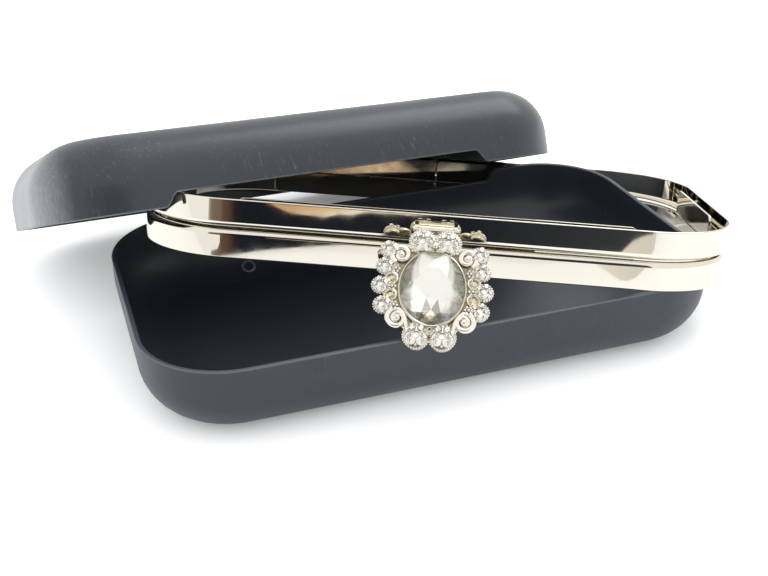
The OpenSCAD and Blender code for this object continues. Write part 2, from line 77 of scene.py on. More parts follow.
# Numbers of a Mix node's colour sockets: the two that it blends, and the one that it gives.
COLOUR_A, COLOUR_B, BLENDED = 6, 7, 2
# Radius that stands for a point where an end closes.
TIP_R = 0.05
# How high a bead stands in the casting, for its polish.
BEAD_RISE = 0.95

Spot = tuple[float, float]
Finishes = dict[str, bpy.types.Material]
AddNode = Callable[..., bpy.types.Node]


class Slot(Enum):
    """The record's material slots, named for the pieces."""

    LOWER_SHELL = "lower_shell_plastic"
    UPPER_SHELL = "upper_shell_plastic"
    RIM = "polished_nickel"
    STRIP = "nickel_strip"
    CASTING = "cast_metal"
    BEZEL = "bezel_metal"
    CENTRE_STONE = "centre_glass"
    SIDE_STONE = "side_glass"
    RHINESTONE = "rhinestone_glass"


class Side(Enum):
    """The two halves of the clasp frame, with the way from the seam to the free edge."""

    UPPER = 1
    LOWER = -1


class Blend(Enum):
    """The ways in which a card's colours blend, as numbers of axes."""

    SIDEWAYS = 0
    UPWARDS = 2


def linear(code: str) -> tuple[float, float, float, float]:
    """Turn an sRGB hex colour to linear.

    Args:
        code: The colour as "#rrggbb".

    Returns:
        Linear red, green and blue, and an alpha of 1.
    """
    parts = [int(code[i : i + 2], 16) / 255 for i in (1, 3, 5)]
    red, green, blue = (p / 12.92 if p <= 0.04045 else ((p + 0.055) / 1.055) ** 2.4 for p in parts)
    return (red, green, blue, 1.0)


def add_node(
    tree: bpy.types.NodeTree, kind: str, inputs: dict | None = None, **settings: Any
) -> bpy.types.Node:
    """Add a node, set its properties, and fill or link its inputs.

    Args:
        tree: The tree that gets the node.
        kind: The node's type name.
        inputs: Values, output sockets, or nodes for their first output, by the input's name or number.
        **settings: Properties of the node.

    Returns:
        The new node.
    """
    node = tree.nodes.new(kind)
    for name, value in settings.items():
        setattr(node, name, value)
    for key, value in (inputs or {}).items():
        if isinstance(value, bpy.types.Node):
            value = value.outputs[0]
        if isinstance(value, bpy.types.NodeSocket):
            tree.links.new(value, node.inputs[key])
        else:
            node.inputs[key].default_value = value
    return node


def new_material(name: str) -> tuple[bpy.types.Material, AddNode]:
    """Make an empty node material.

    Args:
        name: The material's name.

    Returns:
        The material, and the function that adds a node to it.
    """
    material = bpy.data.materials.new(name)
    material.use_nodes = True
    material.node_tree.nodes.clear()
    return material, partial(add_node, material.node_tree)


@dataclass(frozen=True)
class MouldedPlastic:
    """ABS moulded in a satin tool and handled since.

    The eye gets a near-black body whose grey comes from its satin sheen, fine upright scuffs, a few pale
    specks, and a paler band along the rim and the ends that is worn paleness and partly a painted highlight.
    """

    name: str
    body: str
    scuff: str
    # Colour of the paler band on the rim and the ends: worn paleness that is partly a painted highlight.
    rub_and_highlight: str
    roughness: float
    scuff_share: float

    # Real scuffs are as fine as a hair. They are drawn this wide so that they show.
    streak_w: float = 0.75
    streak_l: float = 5.0
    streak_lean: float = 12.0
    haze_size: float = 30.0
    speck_size: float = 7.0
    peel_size: float = 0.7
    relief_h: float = 0.05
    ior: float = 1.54

    def material(self) -> bpy.types.Material:
        """Build the plastic on the shell's own coordinates in millimetres.

        Returns:
            The material.
        """
        material, add = new_material(self.name)
        place = add("ShaderNodeAttribute", attribute_name="tray").outputs["Vector"]
        wear = add("ShaderNodeAttribute", attribute_name="wear").outputs["Fac"]
        leaning = {
            "Vector": place,
            "Rotation": (0.0, math.radians(self.streak_lean), 0.0),
            "Scale": (self.streak_w, self.streak_w, self.streak_l),
        }
        stretched = add("ShaderNodeMapping", leaning, vector_type="TEXTURE")
        streaks = add("ShaderNodeTexNoise", {"Vector": stretched, "Scale": 1.0, "Detail": 3.0})
        haze = add("ShaderNodeTexNoise", {"Vector": place, "Scale": 1 / self.haze_size, "Detail": 2.0})
        worn = {"Value": streaks, "From Min": 0.6, "From Max": 0.75, "To Max": self.scuff_share}
        scuffs = add("ShaderNodeMapRange", worn)
        cells = add("ShaderNodeTexVoronoi", {"Vector": place, "Scale": 1 / self.speck_size})
        near = {"Value": cells.outputs["Distance"], "From Min": 0.05, "From Max": 0.02}
        specks = add("ShaderNodeMapRange", near)
        marks = add("ShaderNodeMath", {0: scuffs, 1: specks}, operation="MAXIMUM")
        patches = add("ShaderNodeMapRange", {"Value": haze, "From Min": 0.4, "From Max": 0.65})
        pale = add("ShaderNodeMath", {0: marks, 1: patches}, operation="MULTIPLY")
        tones = {"Factor": pale, COLOUR_A: linear(self.body), COLOUR_B: linear(self.scuff)}
        scuffed = add("ShaderNodeMix", tones, data_type="RGBA").outputs[BLENDED]
        gaps = {"Value": streaks, "From Min": 0.35, "From Max": 0.65, "To Min": 0.75}
        broken = add("ShaderNodeMapRange", gaps)
        # The paler band on the rim and the ends: worn paleness, and a painted highlight on the rim's roll
        # and the upper shell's end.
        rub_and_highlight_share = add("ShaderNodeMath", {0: wear, 1: broken}, operation="MULTIPLY")
        tones = {"Factor": rub_and_highlight_share, COLOUR_A: scuffed, COLOUR_B: linear(self.rub_and_highlight)}
        colour = add("ShaderNodeMix", tones, data_type="RGBA").outputs[BLENDED]
        satin = {"To Min": self.roughness - 0.05, "To Max": self.roughness + 0.07}
        rough = add("ShaderNodeMapRange", {"Value": haze, "From Min": 0.3, "From Max": 0.7, **satin})
        peel = add("ShaderNodeTexNoise", {"Vector": place, "Scale": 1 / self.peel_size, "Detail": 2.0})
        depth = self.relief_h * MM
        grain = add("ShaderNodeBump", {"Strength": 0.06, "Distance": depth, "Height": peel})
        scratches = {"Strength": 0.05, "Distance": depth, "Height": streaks, "Normal": grain}
        relief = add("ShaderNodeBump", scratches)
        surface = {"Base Color": colour, "Roughness": rough, "IOR": self.ior, "Normal": relief}
        add("ShaderNodeOutputMaterial", {"Surface": add("ShaderNodeBsdfPrincipled", surface)})
        return material


@dataclass(frozen=True)
class NickelPlate:
    """Bright nickel plated on pressed sheet steel.

    The eye gets a warm mirror that wavers a little where the sheet was bent, with faint wiping haze.
    """

    name: str
    tint: str
    roughness: float
    ripple: float

    ripple_size: float = 34.0
    ripple_h: float = 1.0
    wipe_size: float = 5.0
    wipe_share: float = 2.2

    def material(self) -> bpy.types.Material:
        """Build the plate on Object coordinates in metres.

        Returns:
            The material.
        """
        material, add = new_material(self.name)
        place = add("ShaderNodeTexCoord").outputs["Object"]
        scale = 1 / (self.ripple_size * MM)
        waves = add("ShaderNodeTexNoise", {"Vector": place, "Scale": scale, "Detail": 0.0})
        ripples = {"Strength": self.ripple, "Distance": self.ripple_h * MM, "Height": waves}
        bent = add("ShaderNodeBump", ripples)
        scale = 1 / (self.wipe_size * MM)
        wipes = add("ShaderNodeTexNoise", {"Vector": place, "Scale": scale, "Detail": 4.0})
        haze = {"To Min": self.roughness, "To Max": self.wipe_share * self.roughness}
        rough = add("ShaderNodeMapRange", {"Value": wipes, "From Min": 0.35, "From Max": 0.75, **haze})
        surface = {"Base Color": linear(self.tint), "Metallic": 1.0, "Roughness": rough, "Normal": bent}
        add("ShaderNodeOutputMaterial", {"Surface": add("ShaderNodeBsdfPrincipled", surface)})
        return material


@dataclass(frozen=True)
class CastMetal:
    """Nickel-plated zinc casting, polished on its high places.

    The eye gets bright beads and scrolls over recesses that stay brown and dull: the brown is patina in the
    hollows and partly painted shade.
    """

    name: str
    bright: str
    recess: str
    roughness: float

    pit_size: float = 0.6
    pit_h: float = 0.1
    dulling: float = 0.2

    def material(self) -> bpy.types.Material:
        """Build the casting: the attribute "rise" runs from 0 in a recess to 1 on a high place.

        Returns:
            The material.
        """
        material, add = new_material(self.name)
        place = add("ShaderNodeTexCoord").outputs["Object"]
        rise = add("ShaderNodeAttribute", attribute_name="rise").outputs["Fac"]
        scale = 1 / (self.pit_size * MM)
        pits = add("ShaderNodeTexNoise", {"Vector": place, "Scale": scale, "Detail": 2.0})
        patchy = {"To Min": -0.15, "To Max": 0.15}
        uneven = add("ShaderNodeMapRange", {"Value": pits, "From Min": 0.3, "From Max": 0.7, **patchy})
        polish = add("ShaderNodeMath", {0: rise, 1: uneven}, operation="ADD", use_clamp=True)
        # A low rise gives the recess colour: patina in the hollows, and partly a painted shade where parts
        # meet and cover the casting.
        tones = {"Factor": polish, COLOUR_A: linear(self.recess), COLOUR_B: linear(self.bright)}
        colour = add("ShaderNodeMix", tones, data_type="RGBA").outputs[BLENDED]
        dulled = {"Value": polish, "To Min": self.roughness + self.dulling, "To Max": self.roughness}
        rough = add("ShaderNodeMapRange", dulled)
        relief = add("ShaderNodeBump", {"Strength": 0.15, "Distance": self.pit_h * MM, "Height": pits})
        surface = {"Base Color": colour, "Metallic": 1.0, "Roughness": rough, "Normal": relief}
        add("ShaderNodeOutputMaterial", {"Surface": add("ShaderNodeBsdfPrincipled", surface)})
        return material


@dataclass(frozen=True)
class CutGlass:
    """Machine-cut crystal glass with a foiled back.

    The eye gets hard facets that pass the light to the foil and back.
    """

    name: str
    tint: str

    ior: float = 1.56
    streak_size: float = 3.0
    streak_haze: float = 0.03

    def material(self) -> bpy.types.Material:
        """Build the clear glass of the crown, with faint streaks in its polish.

        Returns:
            The material.
        """
        material, add = new_material(self.name)
        place = add("ShaderNodeTexCoord").outputs["Object"]
        scale = 1 / (self.streak_size * MM)
        polish = add("ShaderNodeTexNoise", {"Vector": place, "Scale": scale, "Detail": 2.0})
        streaks = {"Value": polish, "From Min": 0.3, "From Max": 0.7, "To Max": self.streak_haze}
        rough = add("ShaderNodeMapRange", streaks)
        clear = {"Base Color": linear(self.tint), "IOR": self.ior, "Transmission Weight": 1.0}
        shader = add("ShaderNodeBsdfPrincipled", {**clear, "Roughness": rough})
        add("ShaderNodeOutputMaterial", {"Surface": shader})
        return material


@dataclass(frozen=True)
class Place:
    """Where a part's own frame lies in the model: unit axes, and an origin in metres."""

    x: Vector
    y: Vector
    z: Vector
    origin: Vector

    def matrix(self) -> Matrix:
        """Return the matrix from the part's millimetres to the model's metres."""
        turn = Matrix((self.x, self.y, self.z)).transposed().to_4x4()
        return Matrix.Translation(self.origin) @ turn @ Matrix.Scale(MM, 4)


def widest_face(node: bpy.types.Object) -> tuple[Vector, Vector]:
    """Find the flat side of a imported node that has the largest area.

    Args:
        node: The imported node's object.

    Returns:
        The side's outward normal, and the middle of its corners.
    """
    sides: dict[tuple, list] = {}
    for face in node.data.polygons:
        sides.setdefault(tuple(round(c, 2) for c in face.normal), []).append(face)
    faces = max(sides.values(), key=lambda side: sum(face.area for face in side))
    points = [node.data.vertices[i].co for i in {i for face in faces for i in face.vertices}]
    middle = Vector([(max(p[a] for p in points) + min(p[a] for p in points)) / 2 for a in range(3)])
    normal = sum((face.normal * face.area for face in faces), Vector())
    return normal.normalized(), middle


@dataclass(frozen=True)
class Layout:
    """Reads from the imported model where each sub-assembly lies."""

    frame: dict

    clasp_axis_y: float = -65.0
    clasp_axis_z: float = 5.2

    def joint(self, name: str) -> tuple[Vector, Vector]:
        """Return a hinge's point in metres and its axis."""
        found = next(j for j in self.frame["joints"] if j["name"] == name)
        return Vector(found["pos_m"]), Vector(found["axis"]).normalized()

    def clasp_frame(self, hinge_y: float) -> Place:
        """Find the frame's own axes: X along the hinge, Y to the hinge, Z out of the upper rim.

        Args:
            hinge_y: Y of the hinge's axis in the frame.

        Returns:
            The frame's place.
        """
        hinge, axis = self.joint("frame_hinge")
        x = -axis
        back = (hinge - self.joint("clasp_lift")[0]).normalized()
        dip = math.atan2(self.clasp_axis_z, hinge_y - self.clasp_axis_y)
        y = back * math.cos(dip) + x.cross(back) * math.sin(dip)
        return Place(x, y, x.cross(y), hinge - y * hinge_y * MM)

    def lower_shell(self) -> Place:
        """Return the lower shell's axes, which are the model's own."""
        return Place(Vector((1, 0, 0)), Vector((0, 1, 0)), Vector((0, 0, 1)), Vector())

    def upper_shell(self, shell: HalfShell) -> Place:
        """Find the axes of the upper shell, which lies with its open side down.

        Args:
            shell: The moulding, for its sizes.

        Returns:
            The upper shell's place.
        """
        edge, axis = self.joint("top_shell_tip")
        x = -axis
        normal, _ = widest_face(self.frame["nodes"]["top_shell"])
        up = normal if normal.z > 0 else -normal
        up = (up - x * up.dot(x)).normalized()
        across = up.cross(x)
        return Place(x, -across, -up, edge + (up * shell.depth - across * shell.width / 2) * MM)

    def brooch(self, ring_t: float) -> Place:
        """Find the brooch's axes: X across, Y up to the clasp pin, Z out of its face.

        Args:
            ring_t: Thickness of the ring that the centre stone sits on.

        Returns:
            The brooch's place.
        """
        normal, middle = widest_face(self.frame["nodes"]["centre_stone"])
        x = -self.joint("frame_hinge")[1]
        z = -(normal - x * normal.dot(x)).normalized()
        return Place(x, z.cross(x), z, middle - z * ring_t * MM)


def steps_round(count: int, start: float = 0.0) -> np.ndarray:
    """Return equal steps round a circle in radians, from a start that is a share of a step."""
    return (np.arange(count) + start) * 2 * math.pi / count


def arc(middle: Spot, r: float, start: float, end: float, steps: int) -> list[Spot]:
    """List the points of an arc with both ends.

    Args:
        middle: Its middle.
        r: Its radius.
        start: First angle in degrees.
        end: Last angle in degrees.
        steps: Equal parts of the arc.

    Returns:
        The points in order.
    """
    angles = [math.radians(start + (end - start) * k / steps) for k in range(steps + 1)]
    return [(middle[0] + r * math.cos(a), middle[1] + r * math.sin(a)) for a in angles]


def level_oval(turn: np.ndarray, a: Any, b: Any, z: float, at: Spot = (0.0, 0.0)) -> np.ndarray:
    """Return points of an oval in a level plane.

    Args:
        turn: Angles in radians.
        a: Half of its length along X, one for all angles or one for each.
        b: Half of its length along Y.
        z: Its level.
        at: Its middle.

    Returns:
        A row of three for each angle.
    """
    return np.stack([at[0] + a * np.cos(turn), at[1] + b * np.sin(turn), 0 * turn + z], axis=1)


def circle(
    turn: np.ndarray, middle: np.ndarray, r: float, side: np.ndarray, ahead: np.ndarray
) -> np.ndarray:
    """Return points of a circle in any plane.

    Args:
        turn: Angles in radians.
        middle: Its middle.
        r: Its radius.
        side: Unit way of the first angle.
        ahead: Unit way a quarter turn on.

    Returns:
        A row of three for each angle.
    """
    return middle + r * (np.outer(np.cos(turn), side) + np.outer(np.sin(turn), ahead))


@dataclass
class Island:
    """Loose geometry in a part's millimetres, with one value per vertex."""

    points: np.ndarray
    faces: list[tuple[int, ...]]
    value: np.ndarray

    @staticmethod
    def lofted(rings: np.ndarray, value: Any, around: bool = False, inward: bool = False) -> Island:
        """Face a grid of rings whose points run anticlockwise round the way from ring to ring.

        Args:
            rings: Points as rings by points by three.
            value: The vertices' values: one, a row for the points of a ring, or a column for the rings.
            around: Whether the last ring meets the first. If not, both ends are closed.
            inward: Whether the points run clockwise instead.

        Returns:
            An island whose faces point outwards.
        """
        count, size = rings.shape[:2]
        faces: list[tuple[int, ...]] = []
        for i in range(count if around else count - 1):
            n = (i + 1) % count
            for j in range(size):
                k = (j + 1) % size
                faces.append((i * size + j, i * size + k, n * size + k, n * size + j))
        if not around:
            faces += [tuple(range(size))[::-1], tuple(range((count - 1) * size, count * size))]
        if inward:
            faces = [face[::-1] for face in faces]
        return Island(rings.reshape(-1, 3), faces, np.broadcast_to(value, (count, size)).ravel())

    @staticmethod
    def join(islands: Sequence[Island]) -> Island:
        """Put several islands into one.

        Args:
            islands: The islands to join.

        Returns:
            One island with all their vertices and faces.
        """
        faces, start = [], 0
        for island in islands:
            faces += [tuple(start + i for i in face) for face in island.faces]
            start += len(island.points)
        points = np.vstack([i.points for i in islands])
        return Island(points, faces, np.concatenate([i.value for i in islands]))

    def moved(self, shift: Sequence[float], turn: float = 0.0) -> Island:
        """Turn a copy about Z and shift it.

        Args:
            shift: Offset after the turn.
            turn: Angle in degrees.

        Returns:
            The moved copy.
        """
        c, s = math.cos(math.radians(turn)), math.sin(math.radians(turn))
        points = self.points @ np.array([[c, s, 0], [-s, c, 0], [0, 0, 1]]) + np.asarray(shift, float)
        return Island(points, self.faces, self.value)

    def mirrored(self, axis: int) -> Island:
        """Return a copy mirrored across one axis, with its faces turned round."""
        flip = np.where(np.arange(3) == axis, -1, 1)
        return Island(self.points * flip, [face[::-1] for face in self.faces], self.value)


def make_piece(
    name: str, island: Island, place: Place, attribute: str = "rise", sharp_deg: float = 40.0
) -> bpy.types.Object:
    """Make a smooth-shaded object whose place is in its mesh.

    Args:
        name: The piece's name.
        island: Its geometry in the part's millimetres.
        place: Where the part's frame lies.
        attribute: Name of the attribute that holds the island's values.
        sharp_deg: Edges that bend by more than this stay sharp.

    Returns:
        The linked object.
    """
    mesh = bpy.data.meshes.new(name)
    mesh.from_pydata(island.points.tolist(), [], island.faces)
    values = mesh.attributes.new(attribute, "FLOAT", "POINT")
    values.data.foreach_set("value", island.value.astype(np.float32))
    local = mesh.attributes.new("tray", "FLOAT_VECTOR", "POINT")
    local.data.foreach_set("vector", island.points.astype(np.float32).ravel())
    mesh.transform(place.matrix())
    mesh.shade_smooth()
    mesh.set_sharp_from_angle(angle=math.radians(sharp_deg))
    mesh.validate()
    return link(name, mesh)


def link(name: str, data: Any) -> bpy.types.Object:
    """Put a mesh, lamp or camera into the scene.

    Args:
        name: The object's name.
        data: What it holds.

    Returns:
        The linked object.
    """
    item = bpy.data.objects.new(name, data)
    bpy.context.scene.collection.objects.link(item)
    return item


def baked(piece: bpy.types.Object) -> bpy.types.Object:
    """Turn what a piece's modifiers make of it to its plain mesh.

    Args:
        piece: The object with modifiers.

    Returns:
        The same object with no modifier.
    """
    bpy.context.view_layer.update()
    graph = bpy.context.evaluated_depsgraph_get()
    mesh = bpy.data.meshes.new_from_object(piece.evaluated_get(graph))
    piece.modifiers.clear()
    old = piece.data
    piece.data = mesh
    bpy.data.meshes.remove(old)
    return piece


def cut(piece: bpy.types.Object, tool: bpy.types.Object, operation: str) -> None:
    """Cut a piece with a tool, which is then removed.

    Args:
        piece: The piece.
        tool: The tool's object.
        operation: What is kept: DIFFERENCE or INTERSECT.
    """
    modifier = piece.modifiers.new("cut", "BOOLEAN")
    modifier.operation = operation
    modifier.object = tool
    modifier.solver = "EXACT"
    baked(piece)
    bpy.data.objects.remove(tool)


def mend(piece: bpy.types.Object, gap: float = 0.005 * MM) -> None:
    """Close a piece's slivers and turn its faces outwards.

    Args:
        piece: The piece, a closed solid.
        gap: Edges shorter than this are closed.
    """
    mesh = bmesh.new()
    mesh.from_mesh(piece.data)
    bmesh.ops.remove_doubles(mesh, verts=mesh.verts, dist=gap)
    bmesh.ops.dissolve_degenerate(mesh, edges=mesh.edges, dist=gap)
    bmesh.ops.recalc_face_normals(mesh, faces=mesh.faces)
    mesh.to_mesh(piece.data)
    mesh.free()


def settle(
    piece: bpy.types.Object, body: str, slot: Slot, material: bpy.types.Material, *nodes: str
) -> None:
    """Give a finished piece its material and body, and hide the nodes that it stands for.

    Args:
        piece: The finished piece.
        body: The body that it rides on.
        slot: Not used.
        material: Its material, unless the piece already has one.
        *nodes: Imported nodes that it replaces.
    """
    if not piece.data.materials:
        piece.data.materials.append(material)
    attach(piece, body)
    if nodes:
        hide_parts(*nodes)
    LOG.info("%s rides on %s with %d faces", piece.name, body, len(piece.data.polygons))


@dataclass(frozen=True)
class RoundedLoop:
    """A rounded rectangle's corner centres, for sections that are carried round it."""

    half_x: float
    half_y: float
    per_corner: int = 14
    per_side: int = 8

    def stations(self, back_x: Sequence[float] = ()) -> np.ndarray:
        """List the places round the loop, anticlockwise from the right side.

        Args:
            back_x: Places along the back side, where equal parts won't do.

        Returns:
            Rows of x, y and the outward normal's x and y.
        """
        corners = [(sx * self.half_x, sy * self.half_y) for sx, sy in ((1, 1), (-1, 1), (-1, -1), (1, -1))]
        rows: list[tuple[float, float, float, float]] = []
        for corner, (cx, cy) in enumerate(corners):
            for nx, ny in arc((0.0, 0.0), 1.0, 90 * corner, 90 * corner + 90, self.per_corner):
                rows.append((cx, cy, nx, ny))
            ex, ey = corners[(corner + 1) % 4]
            shares = [k / self.per_side for k in range(1, self.per_side)]
            if corner == 0 and back_x:
                shares = sorted({(cx - x) / (cx - ex) for x in back_x})
            rows += [(cx + (ex - cx) * t, cy + (ey - cy) * t, nx, ny) for t in shares]
        return np.array(rows)

    @staticmethod
    def carried(stations: np.ndarray, reach: np.ndarray, height: np.ndarray) -> np.ndarray:
        """Carry a section round the loop.

        Args:
            stations: The places round the loop.
            reach: Distance of each point of the section from the corner's centre.
            height: Heights of the section's points, one row for all stations or one for each.

        Returns:
            Points as stations by section points by three.
        """
        flat = stations[:, None, :2] + stations[:, None, 2:] * reach[None, :, None]
        level = np.broadcast_to(height, flat.shape[:2])
        return np.concatenate([flat, level[..., None]], axis=2)


@dataclass(frozen=True)
class HalfShell:
    """One moulded half of the box, open upwards, with the hinge recess in its back wall."""

    length: float = 200.0
    width: float = 118.0
    depth: float = 27.0
    corner_r: float = 30.0
    edge_r: float = 18.0
    wall: float = 1.8
    recess_l: float = 112.0
    recess_depth: float = 4.8
    recess_slope: float = 5.0
    rim_round: float = 0.5
    floor_in: float = 4.0
    boss_at: Spot = (-47.6, 50.0)
    boss_r: float = 2.9
    boss_bore: float = 1.8
    boss_h: float = 0.8
    boss_round: float = 0.25
    boss_root: float = 0.9
    boss_flare: float = 0.3
    boss_sink: float = 0.1
    # Places along the back side, beyond and between the recess's slopes.
    back_marks: tuple[float, ...] = (66.0, 48.0, 36.0, 24.0, 12.0)
    # Shares of worn paleness: on the rim from its top to its outer side, where it is partly a painted
    # highlight, inside the rim, and on the walls.
    rim_wear_and_highlight: tuple[float, ...] = (0.2, 0.6, 0.75, 0.5, 0.15)
    inner_wear: float = 0.15
    wall_wear: float = 0.03
    # How pale the end is drawn, where that starts and how far it runs: worn paleness with a painted
    # highlight.
    end_wear_and_highlight: float = 0.12
    rub_and_highlight_from: float = -88.5
    rub_and_highlight_over: float = 10.0

    def rim_heights(self, stations: np.ndarray) -> np.ndarray:
        """Find the rim's height round the shell.

        Args:
            stations: The places round the loop.

        Returns:
            A height for each place, lower along the recess.
        """
        beyond = np.abs(stations[:, 0]) - self.recess_l / 2
        share = np.clip(1 - beyond / self.recess_slope, 0, 1)
        eased = 0.5 - 0.5 * np.cos(math.pi * share)
        on_back = stations[:, 3] > 0.999
        return self.depth - np.where(on_back, eased, 0.0) * self.recess_depth

    def section(self) -> np.ndarray:
        """List the wall's section from the floor inside, over the rim, to the base.

        Returns:
            Rows of distance from the corner's centre, fixed height, share of the rim's height, and paleness
            that is worn and, on the rim's roll, partly a painted highlight.
        """
        foot, inner = (self.corner_r - self.edge_r, self.edge_r), self.corner_r - self.wall
        soft, worn = self.rim_round, self.wall_wear
        rows = [(self.floor_in, self.wall, 0.0, 0.0)]
        rows += [(r, z, 0.0, 0.0) for r, z in arc(foot, self.edge_r - self.wall, -90, 0, 10)]
        rows += [(inner, self.edge_r * (1 - t) - soft * t, t, 0.0) for t in (0.35, 0.7, 1.0)]
        rows += [(r, z, 1.0, self.inner_wear) for r, z in arc((inner + soft, -soft), soft, 180, 90, 4)[1:]]
        rolled = arc((self.corner_r - soft, -soft), soft, 90, 0, 4)
        rows += [(r, z, 1.0, wear) for (r, z), wear in zip(rolled, self.rim_wear_and_highlight)]
        rows += [(self.corner_r, self.edge_r * (1 - t) - soft * t, t, worn) for t in (0.97, 0.7, 0.35)]
        rows += [(r, z, 0.0, worn) for r, z in arc(foot, self.edge_r, 0, -90, 10)]
        return np.array([*rows, (self.floor_in, 0.0, 0.0, worn)])

    def boss(self) -> Island:
        """Make the small moulded ring on the fillet inside the back wall.

        Returns:
            The ring, with its bore closed at its foot.
        """
        x, y = self.boss_at
        inner = self.edge_r - self.wall
        out = y - (self.width / 2 - self.edge_r)
        drop = math.sqrt(inner**2 - out**2)
        seat = np.array([x, y, self.edge_r - drop])
        up = np.array([0.0, -out / inner, drop / inner])
        side = np.array([1.0, 0.0, 0.0])
        r, bore, top, soft = self.boss_r, self.boss_bore, self.boss_h, self.boss_round
        # The ring's top is drawn palest: a painted highlight.
        profile = [
            (r + self.boss_flare, -self.boss_root, 0.0),
            (r, top - soft, 0.1),
            (r - soft, top, 1.0),
            (bore + soft, top, 1.0),
            (bore, top - soft, 0.1),
            (bore, -self.boss_sink, 0.0),
            (TIP_R, -self.boss_sink, 0.0),
        ]
        turn = steps_round(36)
        rings = [circle(turn, seat + up * h, q, side, np.cross(up, side)) for q, h, _ in profile]
        return Island.lofted(np.array(rings), [[wear] for _, _, wear in profile])

    def island(self) -> Island:
        """Make the whole moulding in its own frame.

        Returns:
            The shell with its boss.
        """
        slope = [self.recess_l / 2 + self.recess_slope * k / 8 for k in range(-1, 10)]
        back = [side * mark for mark in (*slope, *self.back_marks) for side in (-1, 1)] + [0.0]
        loop = RoundedLoop(self.length / 2 - self.corner_r, self.width / 2 - self.corner_r)
        stations = loop.stations(back)
        reach, level, share, worn = self.section().T
        grid = loop.carried(stations, reach, level + share * self.rim_heights(stations)[:, None])
        # The pale end is worn paleness and partly a painted highlight.
        end_rub_and_highlight = np.clip((self.rub_and_highlight_from - grid[..., 0]) / self.rub_and_highlight_over, 0, 1) * self.end_wear_and_highlight
        wear = np.maximum(worn, np.where(worn > 0, end_rub_and_highlight, 0.0))
        shell = Island.lofted(grid.transpose(1, 0, 2), wear.T, inward=True)
        return Island.join([shell, self.boss()])

    def build(self, name: str, place: Place) -> bpy.types.Object:
        """Make the moulding where it lies."""
        return make_piece(name, self.island(), place, "wear", 50.0)


